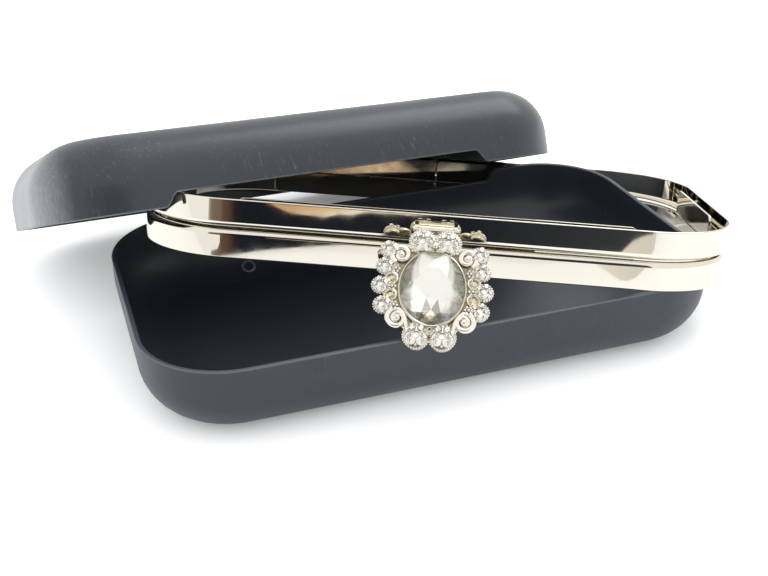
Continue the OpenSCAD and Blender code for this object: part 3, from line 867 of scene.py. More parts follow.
@dataclass(frozen=True)
class ClaspFrame:
    """The two channel rims that close on each other, with their inner strips."""

    length: float = 205.0
    width: float = 123.0
    corner_r: float = 32.5
    sheet: float = 0.8
    rim_h: float = 9.7
    bend_r: float = 1.8
    seam_gap: float = 0.6
    channel_w: float = 4.3
    strip_drop: float = 0.9
    front_strip_drop: float = 0.1
    strip_corner_r: float = 2.0
    strip_bevel: float = 0.12
    front_strip_in: float = 4.0
    back_strip_in: float = 1.0
    side_strip_in: float = 6.0
    strip_joint: float = 0.6
    hinge_l: float = 99.0
    knuckle_gap: float = 0.3
    knuckle_room: float = 2.5
    axis_inset: float = 1.0
    edge_round: float = 0.36
    # Points this far past the bend, the free edge and the web's ends keep their shading off the flats.
    past_bend: float = 0.25
    past_edge: float = 0.15
    past_web: float = 0.2

    @property
    def corner_x(self) -> float:
        """Return the corner centres' X."""
        return self.length / 2 - self.corner_r

    @property
    def corner_y(self) -> float:
        """Return the corner centres' Y."""
        return self.width / 2 - self.corner_r

    @property
    def hinge_y(self) -> float:
        """Return the hinge axis's Y."""
        return self.width / 2 - self.axis_inset

    def section(self) -> np.ndarray:
        """List the rim's section, anticlockwise: bend, outer wall, free edge, inner wall and web.

        Returns:
            Rows of distance from the corner's centre and height over the seam.
        """
        r, t, b, soft = self.corner_r, self.sheet, self.bend_r, self.edge_round
        wall = (b + self.past_bend, self.rim_h / 2, self.rim_h - soft - self.past_edge)
        web, edge = r - self.channel_w + soft, self.rim_h - soft
        web_span = (web + self.past_web, r - b - self.past_web)
        points = arc((r - b, b), b, -90, 0, 10)
        points += [(r, z) for z in wall]
        points += arc((r - soft, edge), soft, 0, 90, 3)
        points += arc((r - t + soft, edge), soft, 90, 180, 3)
        points += [(r - t, z) for z in wall[::-1]]
        points += arc((r - b, b), b - t, 0, -90, 6)
        points += [(x, t) for x in web_span[::-1]]
        points += arc((web, t - soft), soft, 90, 180, 2)
        points += arc((web, soft), soft, 180, 270, 2)
        points += [(x, 0.0) for x in web_span]
        return np.array(points)

    def place_half(self, side: Side, place: Place) -> Place:
        """Return the axes of one half, with Z from the seam to its free edge.

        Args:
            side: Which half.
            place: The frame's own axes.

        Returns:
            Axes turned half round about X for the lower half.
        """
        z = place.z * side.value
        return Place(place.x, place.y * side.value, z, place.origin + z * self.seam_gap / 2 * MM)

    def rim(self, name: str, side: Side, half: Place) -> bpy.types.Object:
        """Make one rim, with its back wall cut away at the knuckles.

        Args:
            name: The piece's name.
            side: Which half.
            half: The half's axes.

        Returns:
            The rim's object.
        """
        loop = RoundedLoop(self.corner_x, self.corner_y, 24, 12)
        reach, height = self.section().T
        grid = loop.carried(loop.stations(), reach, height)
        piece = make_piece(name, Island.lofted(grid, 1.0, around=True, inward=True), half, sharp_deg=35.0)
        cut(piece, self.knuckle_cutter(side, half), "DIFFERENCE")
        return piece

    def knuckle_cutter(self, side: Side, half: Place) -> bpy.types.Object:
        """Make the block that frees the knuckles from a rim's back wall.

        Args:
            side: Which half.
            half: The half's axes.

        Returns:
            The block's object.
        """
        past = 1.0
        x = self.hinge_l / 2 + self.knuckle_gap
        y = (self.hinge_y - self.knuckle_room, self.width / 2 + past)
        feet = np.array([(-x, y[0]), (x, y[0]), (x, y[1]), (-x, y[1])])
        levels = (-past, self.knuckle_room - self.seam_gap / 2)
        rings = np.array([np.column_stack([feet, np.full(4, z)]) for z in levels])
        block = Island.lofted(rings, 1.0)
        return make_piece("knuckle_cutter", block if side is Side.UPPER else block.mirrored(1), half)

    def strip(
        self, name: str, size: Spot, at: Sequence[float], turn: float, half: Place
    ) -> bpy.types.Object:
        """Make one inner strip with rounded upper corners and softened edges.

        Args:
            name: The piece's name.
            size: The strip's length and height.
            at: The middle of its foot in the half's frame.
            turn: Angle of its length from X.
            half: The half's axes.

        Returns:
            The strip's object.
        """
        (length, height), r = size, self.strip_corner_r
        outline = [(-length / 2, 0.0), (length / 2, 0.0)]
        outline += arc((length / 2 - r, height - r), r, 0, 90, 6)
        outline += arc((-length / 2 + r, height - r), r, 90, 180, 6)
        rings = np.array([[[x, y, z] for x, z in outline] for y in (self.sheet / 2, -self.sheet / 2)])
        piece = make_piece(name, Island.lofted(rings, 1.0).moved(at, turn), half)
        soften = piece.modifiers.new("soft_edges", "BEVEL")
        soften.width = self.strip_bevel * MM
        soften.segments = 2
        soften.limit_method = "ANGLE"
        soften.angle_limit = math.radians(60)
        return baked(piece)

    def build(self, place: Place, plate: bpy.types.Material, dull: bpy.types.Material) -> None:
        """Make both halves and their strips.

        Args:
            place: The frame's own axes.
            plate: Finish of the rims.
            dull: Finish of the strips.
        """
        foot = self.channel_w + self.sheet / 2
        x, y = self.length / 2 - foot, self.width / 2 - foot
        low = self.rim_h - self.strip_drop
        front = (2 * (self.corner_x - self.front_strip_in), self.rim_h - self.front_strip_drop)
        end = (2 * self.corner_y - self.side_strip_in, low)
        back = (self.corner_x - self.back_strip_in - self.strip_joint / 2, low)
        end_y, back_x = self.side_strip_in / 2, (self.strip_joint + back[0]) / 2
        strips = {
            "front_strip": (front, (0.0, -y), 0.0),
            "left_strip": (end, (-x, end_y), 90.0),
            "right_strip": (end, (x, end_y), 90.0),
            "back_left_strip": (back, (-back_x, y), 0.0),
            "back_right_strip": (back, (back_x, y), 0.0),
        }
        for side in Side:
            word = side.name.lower()
            body = f"{word}_frame"
            half = self.place_half(side, place)
            settle(self.rim(f"{word}_rim_plate", side, half), body, Slot.RIM, plate, f"{word}_rim")
            for name, (size, at, turn) in strips.items():
                spot = (at[0], at[1] * side.value, 0.0)
                piece = self.strip(f"{word}_{name}_plate", size, spot, turn, half)
                settle(piece, body, Slot.STRIP, dull, f"{word}_{name}")


@dataclass(frozen=True)
class Seating:
    """Points that carry repeated small pieces: places, outward ways and sizes."""

    places: np.ndarray
    ways: np.ndarray
    sizes: np.ndarray

    @staticmethod
    def equal(places: np.ndarray, way: Sequence[float], size: float) -> Seating:
        """Seat pieces of one size that all point one way."""
        return Seating(places, np.tile(way, (len(places), 1)), np.full(len(places), size))

    @staticmethod
    def join(parts: Sequence[Seating]) -> Seating:
        """Put several seatings into one."""
        places, ways = (np.vstack([getattr(p, word) for p in parts]) for word in ("places", "ways"))
        return Seating(places, ways, np.concatenate([p.sizes for p in parts]))

    def on_both_sides(self) -> Seating:
        """Add the left half's seats to the right half's."""
        flip = np.array([-1, 1, 1])
        return Seating.join([self, Seating(self.places * flip, self.ways * flip, self.sizes)])


class SeatedPieces:
    """A Geometry Nodes tree that sets one small shape on every seat."""

    def __init__(self, name: str) -> None:
        """Start the tree with its inputs for the seats, finishes and sizes.

        Args:
            name: The tree's name.
        """
        tree = bpy.data.node_groups.new(name, "GeometryNodeTree")
        kinds = {
            "Geometry": "Geometry",
            "Finish": "Material",
            "Foil": "Material",
            "Facets": "Int",
            "Height": "Float",
        }
        self.ids: dict[str, str] = {}
        for word, kind in kinds.items():
            socket = tree.interface.new_socket(word, in_out="INPUT", socket_type=f"NodeSocket{kind}")
            self.ids[word] = socket.identifier
        tree.interface.new_socket("Geometry", in_out="OUTPUT", socket_type="NodeSocketGeometry")
        self.tree = tree
        self.add: AddNode = partial(add_node, tree)
        self.given = self.add("NodeGroupInput").outputs

    def seat(self, shape: bpy.types.Node) -> SeatedPieces:
        """End the tree: a copy of the shape on every point, turned along its way and sized.

        Args:
            shape: The node of the small shape, one unit in radius.

        Returns:
            The finished tree's owner.
        """
        add = self.add
        way = add("GeometryNodeInputNamedAttribute", {"Name": "way"}, data_type="FLOAT_VECTOR")
        size = add("GeometryNodeInputNamedAttribute", {"Name": "size"}, data_type="FLOAT")
        back = add("GeometryNodeInputNamedAttribute", {"Name": "foiled"}, data_type="BOOLEAN")
        turn = add("FunctionNodeAlignEulerToVector", {"Vector": way}, axis="Z")
        seats = {"Points": self.given["Geometry"], "Instance": shape, "Rotation": turn, "Scale": size}
        copies = add("GeometryNodeInstanceOnPoints", seats)
        real = add("GeometryNodeRealizeInstances", {"Geometry": copies})
        finished = add("GeometryNodeSetMaterial", {"Geometry": real, "Material": self.given["Finish"]})
        foil = {"Geometry": finished, "Selection": back, "Material": self.given["Foil"]}
        add("NodeGroupOutput", {"Geometry": add("GeometryNodeSetMaterial", foil)})
        return self

    def cut_stones(self, table: float = 0.55) -> SeatedPieces:
        """Make the shape a cut stone: a foiled back under a glass crown with a flat table.

        Args:
            table: Radius of the table.

        Returns:
            The finished tree's owner.
        """
        sizes = {"Vertices": self.given["Facets"], "Radius Top": table, "Radius Bottom": 1.0}
        cone = self.add("GeometryNodeMeshCone", {**sizes, "Depth": self.given["Height"]})
        mark = {"Geometry": cone.outputs["Mesh"], "Name": "foiled", "Value": cone.outputs["Bottom"]}
        marked = self.add("GeometryNodeStoreNamedAttribute", mark, data_type="BOOLEAN", domain="FACE")
        return self.seat(marked)

    def beads(self) -> SeatedPieces:
        """Make the shape a cast bead."""
        ball = self.add("GeometryNodeMeshIcoSphere", {"Radius": 1.0, "Subdivisions": 2})
        return self.seat(self.add("GeometryNodeSetShadeSmooth", {"Geometry": ball}))

    def piece(
        self,
        name: str,
        seats: Seating,
        place: Place,
        finish: bpy.types.Material,
        foil: bpy.types.Material | None = None,
        height: float = 0.7,
        facets: int = 8,
    ) -> bpy.types.Object:
        """Make one plain mesh of all the seated shapes.

        Args:
            name: The piece's name.
            seats: Where they sit, in the part's millimetres.
            place: Where the part's frame lies.
            finish: Their material.
            foil: Material of a stone's back.
            height: Height of a stone as a share of its radius.
            facets: Facets round a stone.

        Returns:
            The piece's object.
        """
        mesh = bpy.data.meshes.new(name)
        matrix = place.matrix()
        mesh.from_pydata([matrix @ Vector(p) for p in seats.places], [], [])
        ways = mesh.attributes.new("way", "FLOAT_VECTOR", "POINT")
        turn = matrix.to_3x3()
        ways.data.foreach_set("vector", [c for w in seats.ways for c in (turn @ Vector(w)).normalized()])
        sizes = mesh.attributes.new("size", "FLOAT", "POINT")
        sizes.data.foreach_set("value", (seats.sizes * MM).astype(np.float32))
        piece = link(name, mesh)
        modifier = piece.modifiers.new("seated", "NODES")
        modifier.node_group = self.tree
        given = {"Finish": finish, "Foil": foil or finish, "Facets": facets, "Height": height}
        for word, value in given.items():
            modifier[self.ids[word]] = value
        baked(piece)
        rise = piece.data.attributes.new("rise", "FLOAT", "POINT")
        rise.data.foreach_set("value", np.full(len(piece.data.vertices), BEAD_RISE, np.float32))
        return piece


@dataclass(frozen=True)
class CentreStone:
    """The oval stone: a checkerboard crown and a foiled back, cut on an eightfold plan from an oval disc.

    The tints are numbers of finishes, for the girdle's facets and for both halves of the facets above them:
    the pale yellow, dark and hazy ones are painted reflections.
    """

    width: float = 20.0
    height: float = 25.0
    crown_h: float = 5.0
    girdle: float = 0.9
    pavilion: float = 0.12
    back_h: float = 0.1
    facets: int = 8
    shares: tuple[float, ...] = (1.09, 0.68, 0.46)
    girdle_reflection_tints: tuple[int, ...] = (0, 4, 4, 4, 4, 4, 0, 2)
    left_reflection_tints: tuple[int, ...] = (0, 0, 4, 0, 0, 4, 0, 3)
    right_reflection_tints: tuple[int, ...] = (0, 4, 0, 0, 4, 0, 0, 3)

    def ring(self, share: float, z: float, half: int) -> np.ndarray:
        """Return one ring of points.

        Args:
            share: Size as a share of the girdle.
            z: Height over the stone's seat.
            half: Turn in half facets.

        Returns:
            The ring's points.
        """
        turn = steps_round(self.facets, 0.5 * half + 0.5) - math.pi / 2
        return level_oval(turn, share * self.width / 2, share * self.height / 2, z)

    def crown_heights(self) -> list[float]:
        """Find heights that keep every four-cornered facet flat.

        Returns:
            The rings' heights as shares of the crown.
        """
        squeeze = math.cos(math.pi / self.facets)
        s = self.shares
        rise = [0.0, 1.0]
        for i in range(2, len(s)):
            step = (s[i] - s[i - 2]) / (s[i - 1] * squeeze - s[i - 2])
            rise.append(rise[i - 2] + (rise[i - 1] - rise[i - 2]) * step)
        return [r / rise[-1] for r in rise]

    def rough(self) -> tuple[Island, list[int]]:
        """Cut the facets on an eightfold plan, before the oval is cut.

        Returns:
            The back's point, girdle, crown and table, and the number of each facet's finish.
        """
        n = self.facets
        rings = [self.ring(self.shares[0], self.back_h, 1)]
        for i, (share, rise) in enumerate(zip(self.shares, self.crown_heights())):
            rings.append(self.ring(share, self.girdle + (self.crown_h - self.girdle) * rise, i % 2))
        points = np.vstack([*rings, -self.pavilion * UP])
        tip, low, mid, high = len(points) - 1, n, 2 * n, 3 * n
        faces: list[tuple[int, ...]] = []
        finish: list[int] = []
        for k in range(n):
            m = (k + 1) % n
            faces += [(tip, m, k), (k, m, low + m), (k, low + m, low + k), (low + k, low + m, mid + k)]
            faces += [(low + m, mid + m, high + m), (low + m, high + m, mid + k)]
            faces.append((high + k, mid + k, high + m))
            finish += [0, 0, 0, self.girdle_reflection_tints[k], self.left_reflection_tints[m], self.right_reflection_tints[k], 0]
        faces.append(tuple(high + k for k in range(n)))
        return Island(points, faces, np.ones(len(points))), [*finish, 0]

    def blank(self) -> Island:
        """Make the oval disc that the facets are cut on.

        Returns:
            The disc, taller than the stone.
        """
        levels = (-2 * self.pavilion, 2 * self.crown_h)
        rings = [level_oval(steps_round(90), self.width / 2, self.height / 2, z) for z in levels]
        return Island.lofted(np.array(rings), 1.0)

    def build(self, name: str, seat: Place, finishes: Sequence[bpy.types.Material]) -> bpy.types.Object:
        """Make the stone with flat facets.

        Args:
            name: The piece's name.
            seat: The axes of the stone's seat.
            finishes: Materials of the crown, the back, the lowest facet, the two beside it and the sides;
                the last three carry painted reflections.

        Returns:
            The stone's object.
        """
        facets, numbers = self.rough()
        piece = make_piece(name, facets, seat)
        for finish in finishes:
            piece.data.materials.append(finish)
        piece.data.polygons.foreach_set("material_index", numbers)
        mend(piece)
        cut(piece, make_piece("stone_blank", self.blank(), seat), "INTERSECT")
        mend(piece)
        piece.data.shade_flat()
        # The facets that look back carry the foil, the second finish.
        for face in piece.data.polygons:
            if face.normal.dot(seat.z) < -0.5:
                face.material_index = 1
        return piece


@dataclass(frozen=True)
class Lobe:
    """One domed pad of the casting, with its ring of small stones and the prongs between them."""

    r: float
    stones: int
    stone_r: float
    spread: float
    prong_r: float


@dataclass(frozen=True)
class Leaf:
    """A tapered leaf along the stone: its angles, distance outside the stone, thickness and lift."""

    start: float
    end: float
    out: float
    thick: float
    lift: float


@dataclass(frozen=True)
class Brooch:
    """The cast setting of the flap: a back ring with domed lobes, scrolls, beads and small stones."""

    stone: CentreStone = CentreStone()
    pair_lobe: Lobe = Lobe(r=4.2, stones=6, stone_r=1.2, spread=2.5, prong_r=0.5)
    side_lobe: Lobe = Lobe(r=2.8, stones=5, stone_r=1.0, spread=1.75, prong_r=0.4)
    lower_leaf: Leaf = Leaf(start=-86.0, end=-62.0, out=2.1, thick=1.2, lift=0.45)
    upper_leaf: Leaf = Leaf(start=62.0, end=84.0, out=1.9, thick=0.8, lift=0.6)
    ring_t: float = 1.6
    ring_w: float = 4.2
    ledge: float = 1.4
    bezel_gap: float = 0.2
    bezel_t: float = 0.8
    bezel_h: float = 1.1
    dome_h: float = 1.5
    lobe_rise: float = 0.4
    prong_in: float = 1.1
    scroll_t: float = 0.99
    scroll_thin: float = 0.405
    scroll_r: float = 3.4
    scroll_turns: float = 1.45
    scroll_close: float = 0.72
    scroll_ease: float = 0.85
    scroll_lean: float = -60.0
    scroll_lift: float = 0.75
    eye_r: float = 1.15
    crest_r: float = 1.25
    crest_out: float = 2.3
    ball_lift: float = 0.9
    tendril_t: float = 0.35
    tendril_swell: float = 0.5
    tendril_lift: float = 0.95
    tendril_knots: tuple[Spot, ...] = (
        (11.6, -8.2), (10.0, -7.9), (8.7, -9.3), (7.7, -11.3), (7.3, -13.2), (7.0, -15.2),
    )
    collar_t: float = 0.38
    collar_out: float = 0.15
    seat_lift: float = 0.3
    stone_lift: float = 0.1
    side_stone_r: float = 1.7
    side_stone_way: tuple[float, float, float] = (0.15, 0.0, 0.99)
    bead_r: float = 0.36
    bead_step: float = 2.4
    petal_r: float = 0.55

    @property
    def half(self) -> Spot:
        """Return half of the stone's width and height."""
        return self.stone.width / 2, self.stone.height / 2

    def lobes(self) -> list[tuple[Lobe, Spot]]:
        """Lay out the lobes of the right half.

        Returns:
            The lobes with their places.
        """
        a, b = self.half
        found = [(self.pair_lobe, (4.0, b + 3.6)), (self.pair_lobe, (4.0, -b - 3.6))]
        sides = [(a + 4.3, b + 0.1), (a + 5.2, 6.7), (a + 6.2, 0.0), (a + 5.2, -6.7)]
        return found + [(self.side_lobe, at) for at in sides]

    def side_stones(self) -> list[Spot]:
        """Return the places of the larger stones beside the bezel on the right."""
        return [(self.half[0] + 3, 2.9), (self.half[0] + 3, -2.9)]

    def flowers(self) -> list[Spot]:
        """Return the places of the small beaded flowers beside the bezel on the right."""
        a, b = self.half
        return [(a + 2.7, 0.0), (a + 1.9, 6.2), (a + 1.7, -6.4), (a - 3.4, b + 1.2)]

    def carried(self, section: Sequence[tuple[float, float, float]]) -> Island:
        """Carry a closed section round the stone.

        Args:
            section: Rows of distance outside the stone, height and rise, clockwise seen along the way round.

        Returns:
            The ring.
        """
        turn = steps_round(96)
        a, b = self.half
        way = level_oval(turn, b, a, 0.0)
        way /= np.linalg.norm(way, axis=1)[:, None]
        edge = level_oval(turn, a, b, 0.0)
        rows = np.stack([edge + way * out + UP * height for out, height, _ in section], axis=1)
        return Island.lofted(rows, [rise for _, _, rise in section], around=True, inward=True)

    def back_ring(self) -> Island:
        """Make the ring that carries everything, with softened edges.

        Returns:
            The ring, drawn dark and dull where the stone and the lobes cover it: a painted shade.
        """
        w, t, inner = self.ring_w, self.ring_t, -self.ledge
        under = [(inner, 0.2, 0.7), (inner + 0.2, 0.0, 0.75), (w - 0.3, 0.0, 0.75), (w, 0.3, 0.6)]
        over = [(w, t - 0.4, 0.7), (w - 0.4, t, 0.8), (w - 1.0, t, 0.1), (inner + 0.2, t, 0.0)]
        return self.carried([*under, *over, (inner, t - 0.2, 0.0)])

    def bezel(self) -> Island:
        """Make the thin wall that is turned over the stone's edge.

        Returns:
            The wall.
        """
        low, high = self.bezel_gap, self.bezel_gap + self.bezel_t
        top = self.ring_t + self.bezel_h
        outside = [(low, self.ring_t, 0.4), (high, self.ring_t, 0.4), (high - 0.1, top - 0.4, 0.9)]
        turned = [(high - 0.4, top - 0.05, 1.0), (low + 0.1, top, 1.0), (low - 0.05, top - 0.2, 0.9)]
        return self.carried(outside + turned)

    def dome(self, r: float) -> tuple[float, float]:
        """Return the radius of a lobe's dome and the level of its middle, from the lobe's radius."""
        ball = (r**2 + self.dome_h**2) / (2 * self.dome_h)
        return ball, self.ring_t + self.lobe_rise + self.dome_h - ball

    def pad(self, r: float) -> Island:
        """Make a domed pad.

        Args:
            r: Its radius.

        Returns:
            The pad, standing on the brooch's back plane.
        """
        ball, middle = self.dome(r)
        rows = [(r - 0.3, 0.0, 0.75), (r, 0.3, 0.7), (r, self.ring_t + self.lobe_rise, 0.7)]
        for out in (r * (1 - k / 6) for k in range(1, 6)):
            rows.append((out, middle + math.sqrt(ball**2 - out**2), 0.75))
        rows.append((TIP_R, middle + ball, 0.75))
        rings = [level_oval(steps_round(24), out, out, z) for out, z, _ in rows]
        return Island.lofted(np.array(rings), [[rise] for _, _, rise in rows])

    def swept(self, path: np.ndarray, radii: np.ndarray, sides: int = 10) -> Island:
        """Sweep a round bar whose thickness changes along a level path.

        Args:
            path: Points of the path.
            radii: The bar's radius at each point.
            sides: Sides of the bar.

        Returns:
            The closed bar.
        """
        along = np.gradient(path, axis=0)
        along /= np.linalg.norm(along, axis=1)[:, None]
        turn = steps_round(sides)
        rings = [circle(turn, p, r, side, UP) for p, r, side in zip(path, radii, np.cross(along, UP))]
        # The bar is drawn bright on top and half as bright below: polish on top, and a painted shade below.
        rise = 0.55 + 0.45 * np.clip(np.sin(turn) + 0.3, 0, 1)
        return Island.lofted(np.array(rings), rise, inward=True)

    def ball(self, r: float, at: Sequence[float]) -> Island:
        """Make a bead.

        Args:
            r: Its radius.
            at: Its middle.

        Returns:
            The bead.
        """
        turn = steps_round(15)
        tilts = np.radians(np.linspace(-84, 84, 9))
        rings = [level_oval(turn, math.cos(q), math.cos(q), math.sin(q)) for q in tilts]
        return Island.lofted(np.array(rings) * r + np.asarray(at, float), BEAD_RISE)

    def volute(self) -> Island:
        """Make a scroll that thins and tightens to a bead in its eye.

        Returns:
            The scroll round the origin.
        """
        turn = np.linspace(0, 2 * math.pi * self.scroll_turns, 52)
        share = turn / turn[-1]
        reach = self.scroll_r * (1 - self.scroll_close * share**self.scroll_ease)
        path = level_oval(turn, reach, reach, self.ring_t + self.scroll_lift)
        bar = self.swept(path, self.scroll_t - self.scroll_thin * share)
        return Island.join([bar, self.ball(self.eye_r, (0.0, 0.0, self.ring_t + self.ball_lift))])

    def leaf(self, leaf: Leaf) -> Island:
        """Make a tapered leaf that lies along the stone.

        Args:
            leaf: Its sizes.

        Returns:
            The leaf.
        """
        turn = np.radians(np.linspace(leaf.start, leaf.end, 22))
        a, b = self.half
        path = level_oval(turn, a + leaf.out, b + leaf.out, self.ring_t + leaf.lift)
        # The tips stop short of a point.
        taper = np.sin(math.pi * np.linspace(0.06, 0.94, len(turn)))
        return self.swept(path, leaf.thick * np.sqrt(np.clip(taper, 0.05, 1)))

    def tendril(self) -> Island:
        """Make the bar that swings from the lower volute along the stone to the lower lobes.

        Returns:
            The bar, thickest in its middle.
        """
        knots = np.array(self.tendril_knots)
        share = np.linspace(0, 1, len(knots))
        fine = np.linspace(0, 1, 30)
        path = np.full((len(fine), 3), self.ring_t + self.tendril_lift)
        path[:, :2] = np.stack([np.interp(fine, share, knots[:, i]) for i in (0, 1)], axis=1)
        for _ in range(3):
            path[1:-1] = (path[:-2] + 2 * path[1:-1] + path[2:]) / 4
        swell = np.sin(math.pi * np.linspace(0.1, 0.9, len(fine)))
        return self.swept(path, self.tendril_t + self.tendril_swell * swell)

    def collar(self, r: float) -> Island:
        """Make the raised collar round a stone.

        Args:
            r: The stone's radius.

        Returns:
            The collar round the origin.
        """
        turn = np.linspace(0, 2 * math.pi, 25)
        reach = r + self.collar_out
        path = level_oval(turn, reach, reach, self.ring_t + self.seat_lift)
        return self.swept(path, np.full(len(turn), self.collar_t), 8)

    def casting(self) -> Island:
        """Join the ring, lobes, scrolls and leaves of the casting.

        Returns:
            The casting.
        """
        a, b = self.half
        scroll = self.volute().moved((a + 0.4, b - 1.6, 0), self.scroll_lean)
        right = [self.pad(lobe.r).moved((*at, 0)) for lobe, at in self.lobes()]
        right += [scroll, scroll.mirrored(1), self.leaf(self.lower_leaf), self.leaf(self.upper_leaf)]
        right.append(self.tendril())
        right += [self.collar(self.side_stone_r).moved((*at, 0)) for at in self.side_stones()]
        left = [part.mirrored(0) for part in right]
        crest = self.ball(self.crest_r, (0, b + self.crest_out, self.ring_t + self.ball_lift))
        return Island.join([self.back_ring(), *right, *left, crest])

    def rhinestone_seats(self) -> Seating:
        """Seat a stone in the middle of each lobe and a ring of stones round it.

        Returns:
            Seats on the lobes' domes.
        """
        parts = []
        for lobe, at in self.lobes():
            ball, level = self.dome(lobe.r)
            tilt = math.asin(lobe.spread / ball)
            ring = level_oval(steps_round(lobe.stones), math.sin(tilt), math.sin(tilt), math.cos(tilt))
            ways = np.vstack([UP, ring])
            places = np.array([*at, level]) + ways * (ball + self.stone_lift)
            parts.append(Seating(places, ways, np.full(len(ways), lobe.stone_r)))
        return Seating.join(parts).on_both_sides()

    def prong_seats(self, lobe: Lobe, at: Spot) -> Seating:
        """Seat the prong beads in the gaps of a lobe's ring of stones.

        Args:
            lobe: The lobe.
            at: The lobe's place.

        Returns:
            Seats on the lobe's dome, near its edge.
        """
        ball, middle = self.dome(lobe.r)
        out = lobe.r - self.prong_in
        level = middle + math.sqrt(ball**2 - out**2)
        places = level_oval(steps_round(lobe.stones, 0.5), out, out, level, at)
        return Seating.equal(places, UP, lobe.prong_r)

    def bead_seats(self) -> Seating:
        """Seat the cast beads: round each lobe's edge, between its stones, and in the small flowers.

        Returns:
            Seats of both halves.
        """
        parts = []
        for lobe, at in self.lobes():
            turn = steps_round(int(2 * math.pi * lobe.r / (self.bead_step * self.bead_r)))
            ring = level_oval(turn, lobe.r, lobe.r, self.ring_t + self.lobe_rise, at)
            # Beads on the middle line would meet their mirror images.
            clear = ring[:, 0] > 0.1
            parts.append(Seating.equal(ring[clear], UP, self.bead_r))
            parts.append(self.prong_seats(lobe, at))
        level, reach = self.ring_t + self.seat_lift, 2 * self.petal_r
        for at in self.flowers():
            petals = level_oval(steps_round(6), reach, reach, level, at)
            flower = np.vstack([petals, [*at, level + self.seat_lift]])
            parts.append(Seating.equal(flower, UP, self.petal_r))
        return Seating.join(parts).on_both_sides()

    def side_stone_seats(self) -> Seating:
        """Seat the larger stones beside the bezel."""
        places = np.array([[*at, self.ring_t + self.seat_lift] for at in self.side_stones()])
        return Seating.equal(places, self.side_stone_way, self.side_stone_r).on_both_sides()

    def build(self, place: Place, finishes: Finishes) -> None:
        """Make all pieces of the brooch.

        Args:
            place: The brooch's axes.
            finishes: Materials by name.
        """
        body = "clasp"
        cast, clear, pale, foil = (finishes[word] for word in ("casting", "clear", "pale", "foil"))
        casting = make_piece("brooch_casting", self.casting(), place)
        settle(casting, body, Slot.CASTING, cast, "brooch_setting")
        beads = SeatedPieces("cast_beads").beads()
        settle(beads.piece("brooch_beads", self.bead_seats(), place, cast), body, Slot.CASTING, cast)
        bezel = make_piece("bezel_wall", self.bezel(), place)
        settle(bezel, body, Slot.BEZEL, finishes["bezel"], "stone_bezel")
        stones = SeatedPieces("cut_stones").cut_stones()
        small = stones.piece("pave_stones", self.rhinestone_seats(), place, clear, foil, 0.75)
        settle(small, body, Slot.RHINESTONE, clear, "rhinestones")
        side = stones.piece("flank_stones", self.side_stone_seats(), place, pale, foil, 0.8)
        settle(side, body, Slot.SIDE_STONE, pale, "side_stones")
        seat = Place(place.x, place.y, place.z, place.origin + place.z * self.ring_t * MM)
        # The centre stone's pale yellow, dark and hazy facets are painted reflections.
        facets = [finishes[word] for word in ("clear", "soft_foil", "cream_reflection", "dark_reflection", "haze")]
        centre = self.stone.build("oval_stone", seat, facets)
        settle(centre, body, Slot.CENTRE_STONE, clear, "centre_stone")


@dataclass(frozen=True)
class MirrorCard:
    """An upright card behind the camera, in metres, which only the bright metal mirrors.

    Its lower edge is a row of X and Z from left to right, and its tones are places along an axis with the
    colours there.
    """

    name: str
    edge: tuple[Spot, ...]
    top: float
    y: float
    blend: Blend
    tones: tuple[tuple[float, str], ...]

    def reflected_glow(self) -> bpy.types.Material:
        """Build the card's glowing sheet, whose colours blend along one axis and show only as painted
        reflections.

        Returns:
            The material.
        """
        material, add = new_material(f"{self.name}_cloth")
        place = add("ShaderNodeTexCoord").outputs["Object"]
        along = add("ShaderNodeSeparateXYZ", {0: place}).outputs[self.blend.value]
        start, stop = self.tones[0][0], self.tones[-1][0]
        share = add("ShaderNodeMapRange", {"Value": along, "From Min": start, "From Max": stop})
        ramp = add("ShaderNodeValToRGB", {0: share})
        marks = ramp.color_ramp.elements
        for at, _ in self.tones[1:-1]:
            marks.new((at - start) / (stop - start))
        for mark, (_, colour) in zip(marks, self.tones):
            mark.color = linear(colour)
        glow = add("ShaderNodeEmission", {"Color": ramp, "Strength": 1.0})
        add("ShaderNodeOutputMaterial", {"Surface": glow})
        return material

    def hang(self) -> None:
        """Hang the card where mirrors alone see it."""
        mesh = bpy.data.meshes.new(self.name)
        outline = [*self.edge, (self.edge[-1][0], self.top), (self.edge[0][0], self.top)]
        mesh.from_pydata([(x, self.y, z) for x, z in outline], [], [tuple(range(len(outline)))])
        mesh.materials.append(self.reflected_glow())
        card = link(self.name, mesh)
        card.visible_camera = False
        card.visible_diffuse = False
        card.visible_transmission = False
        card.visible_shadow = False


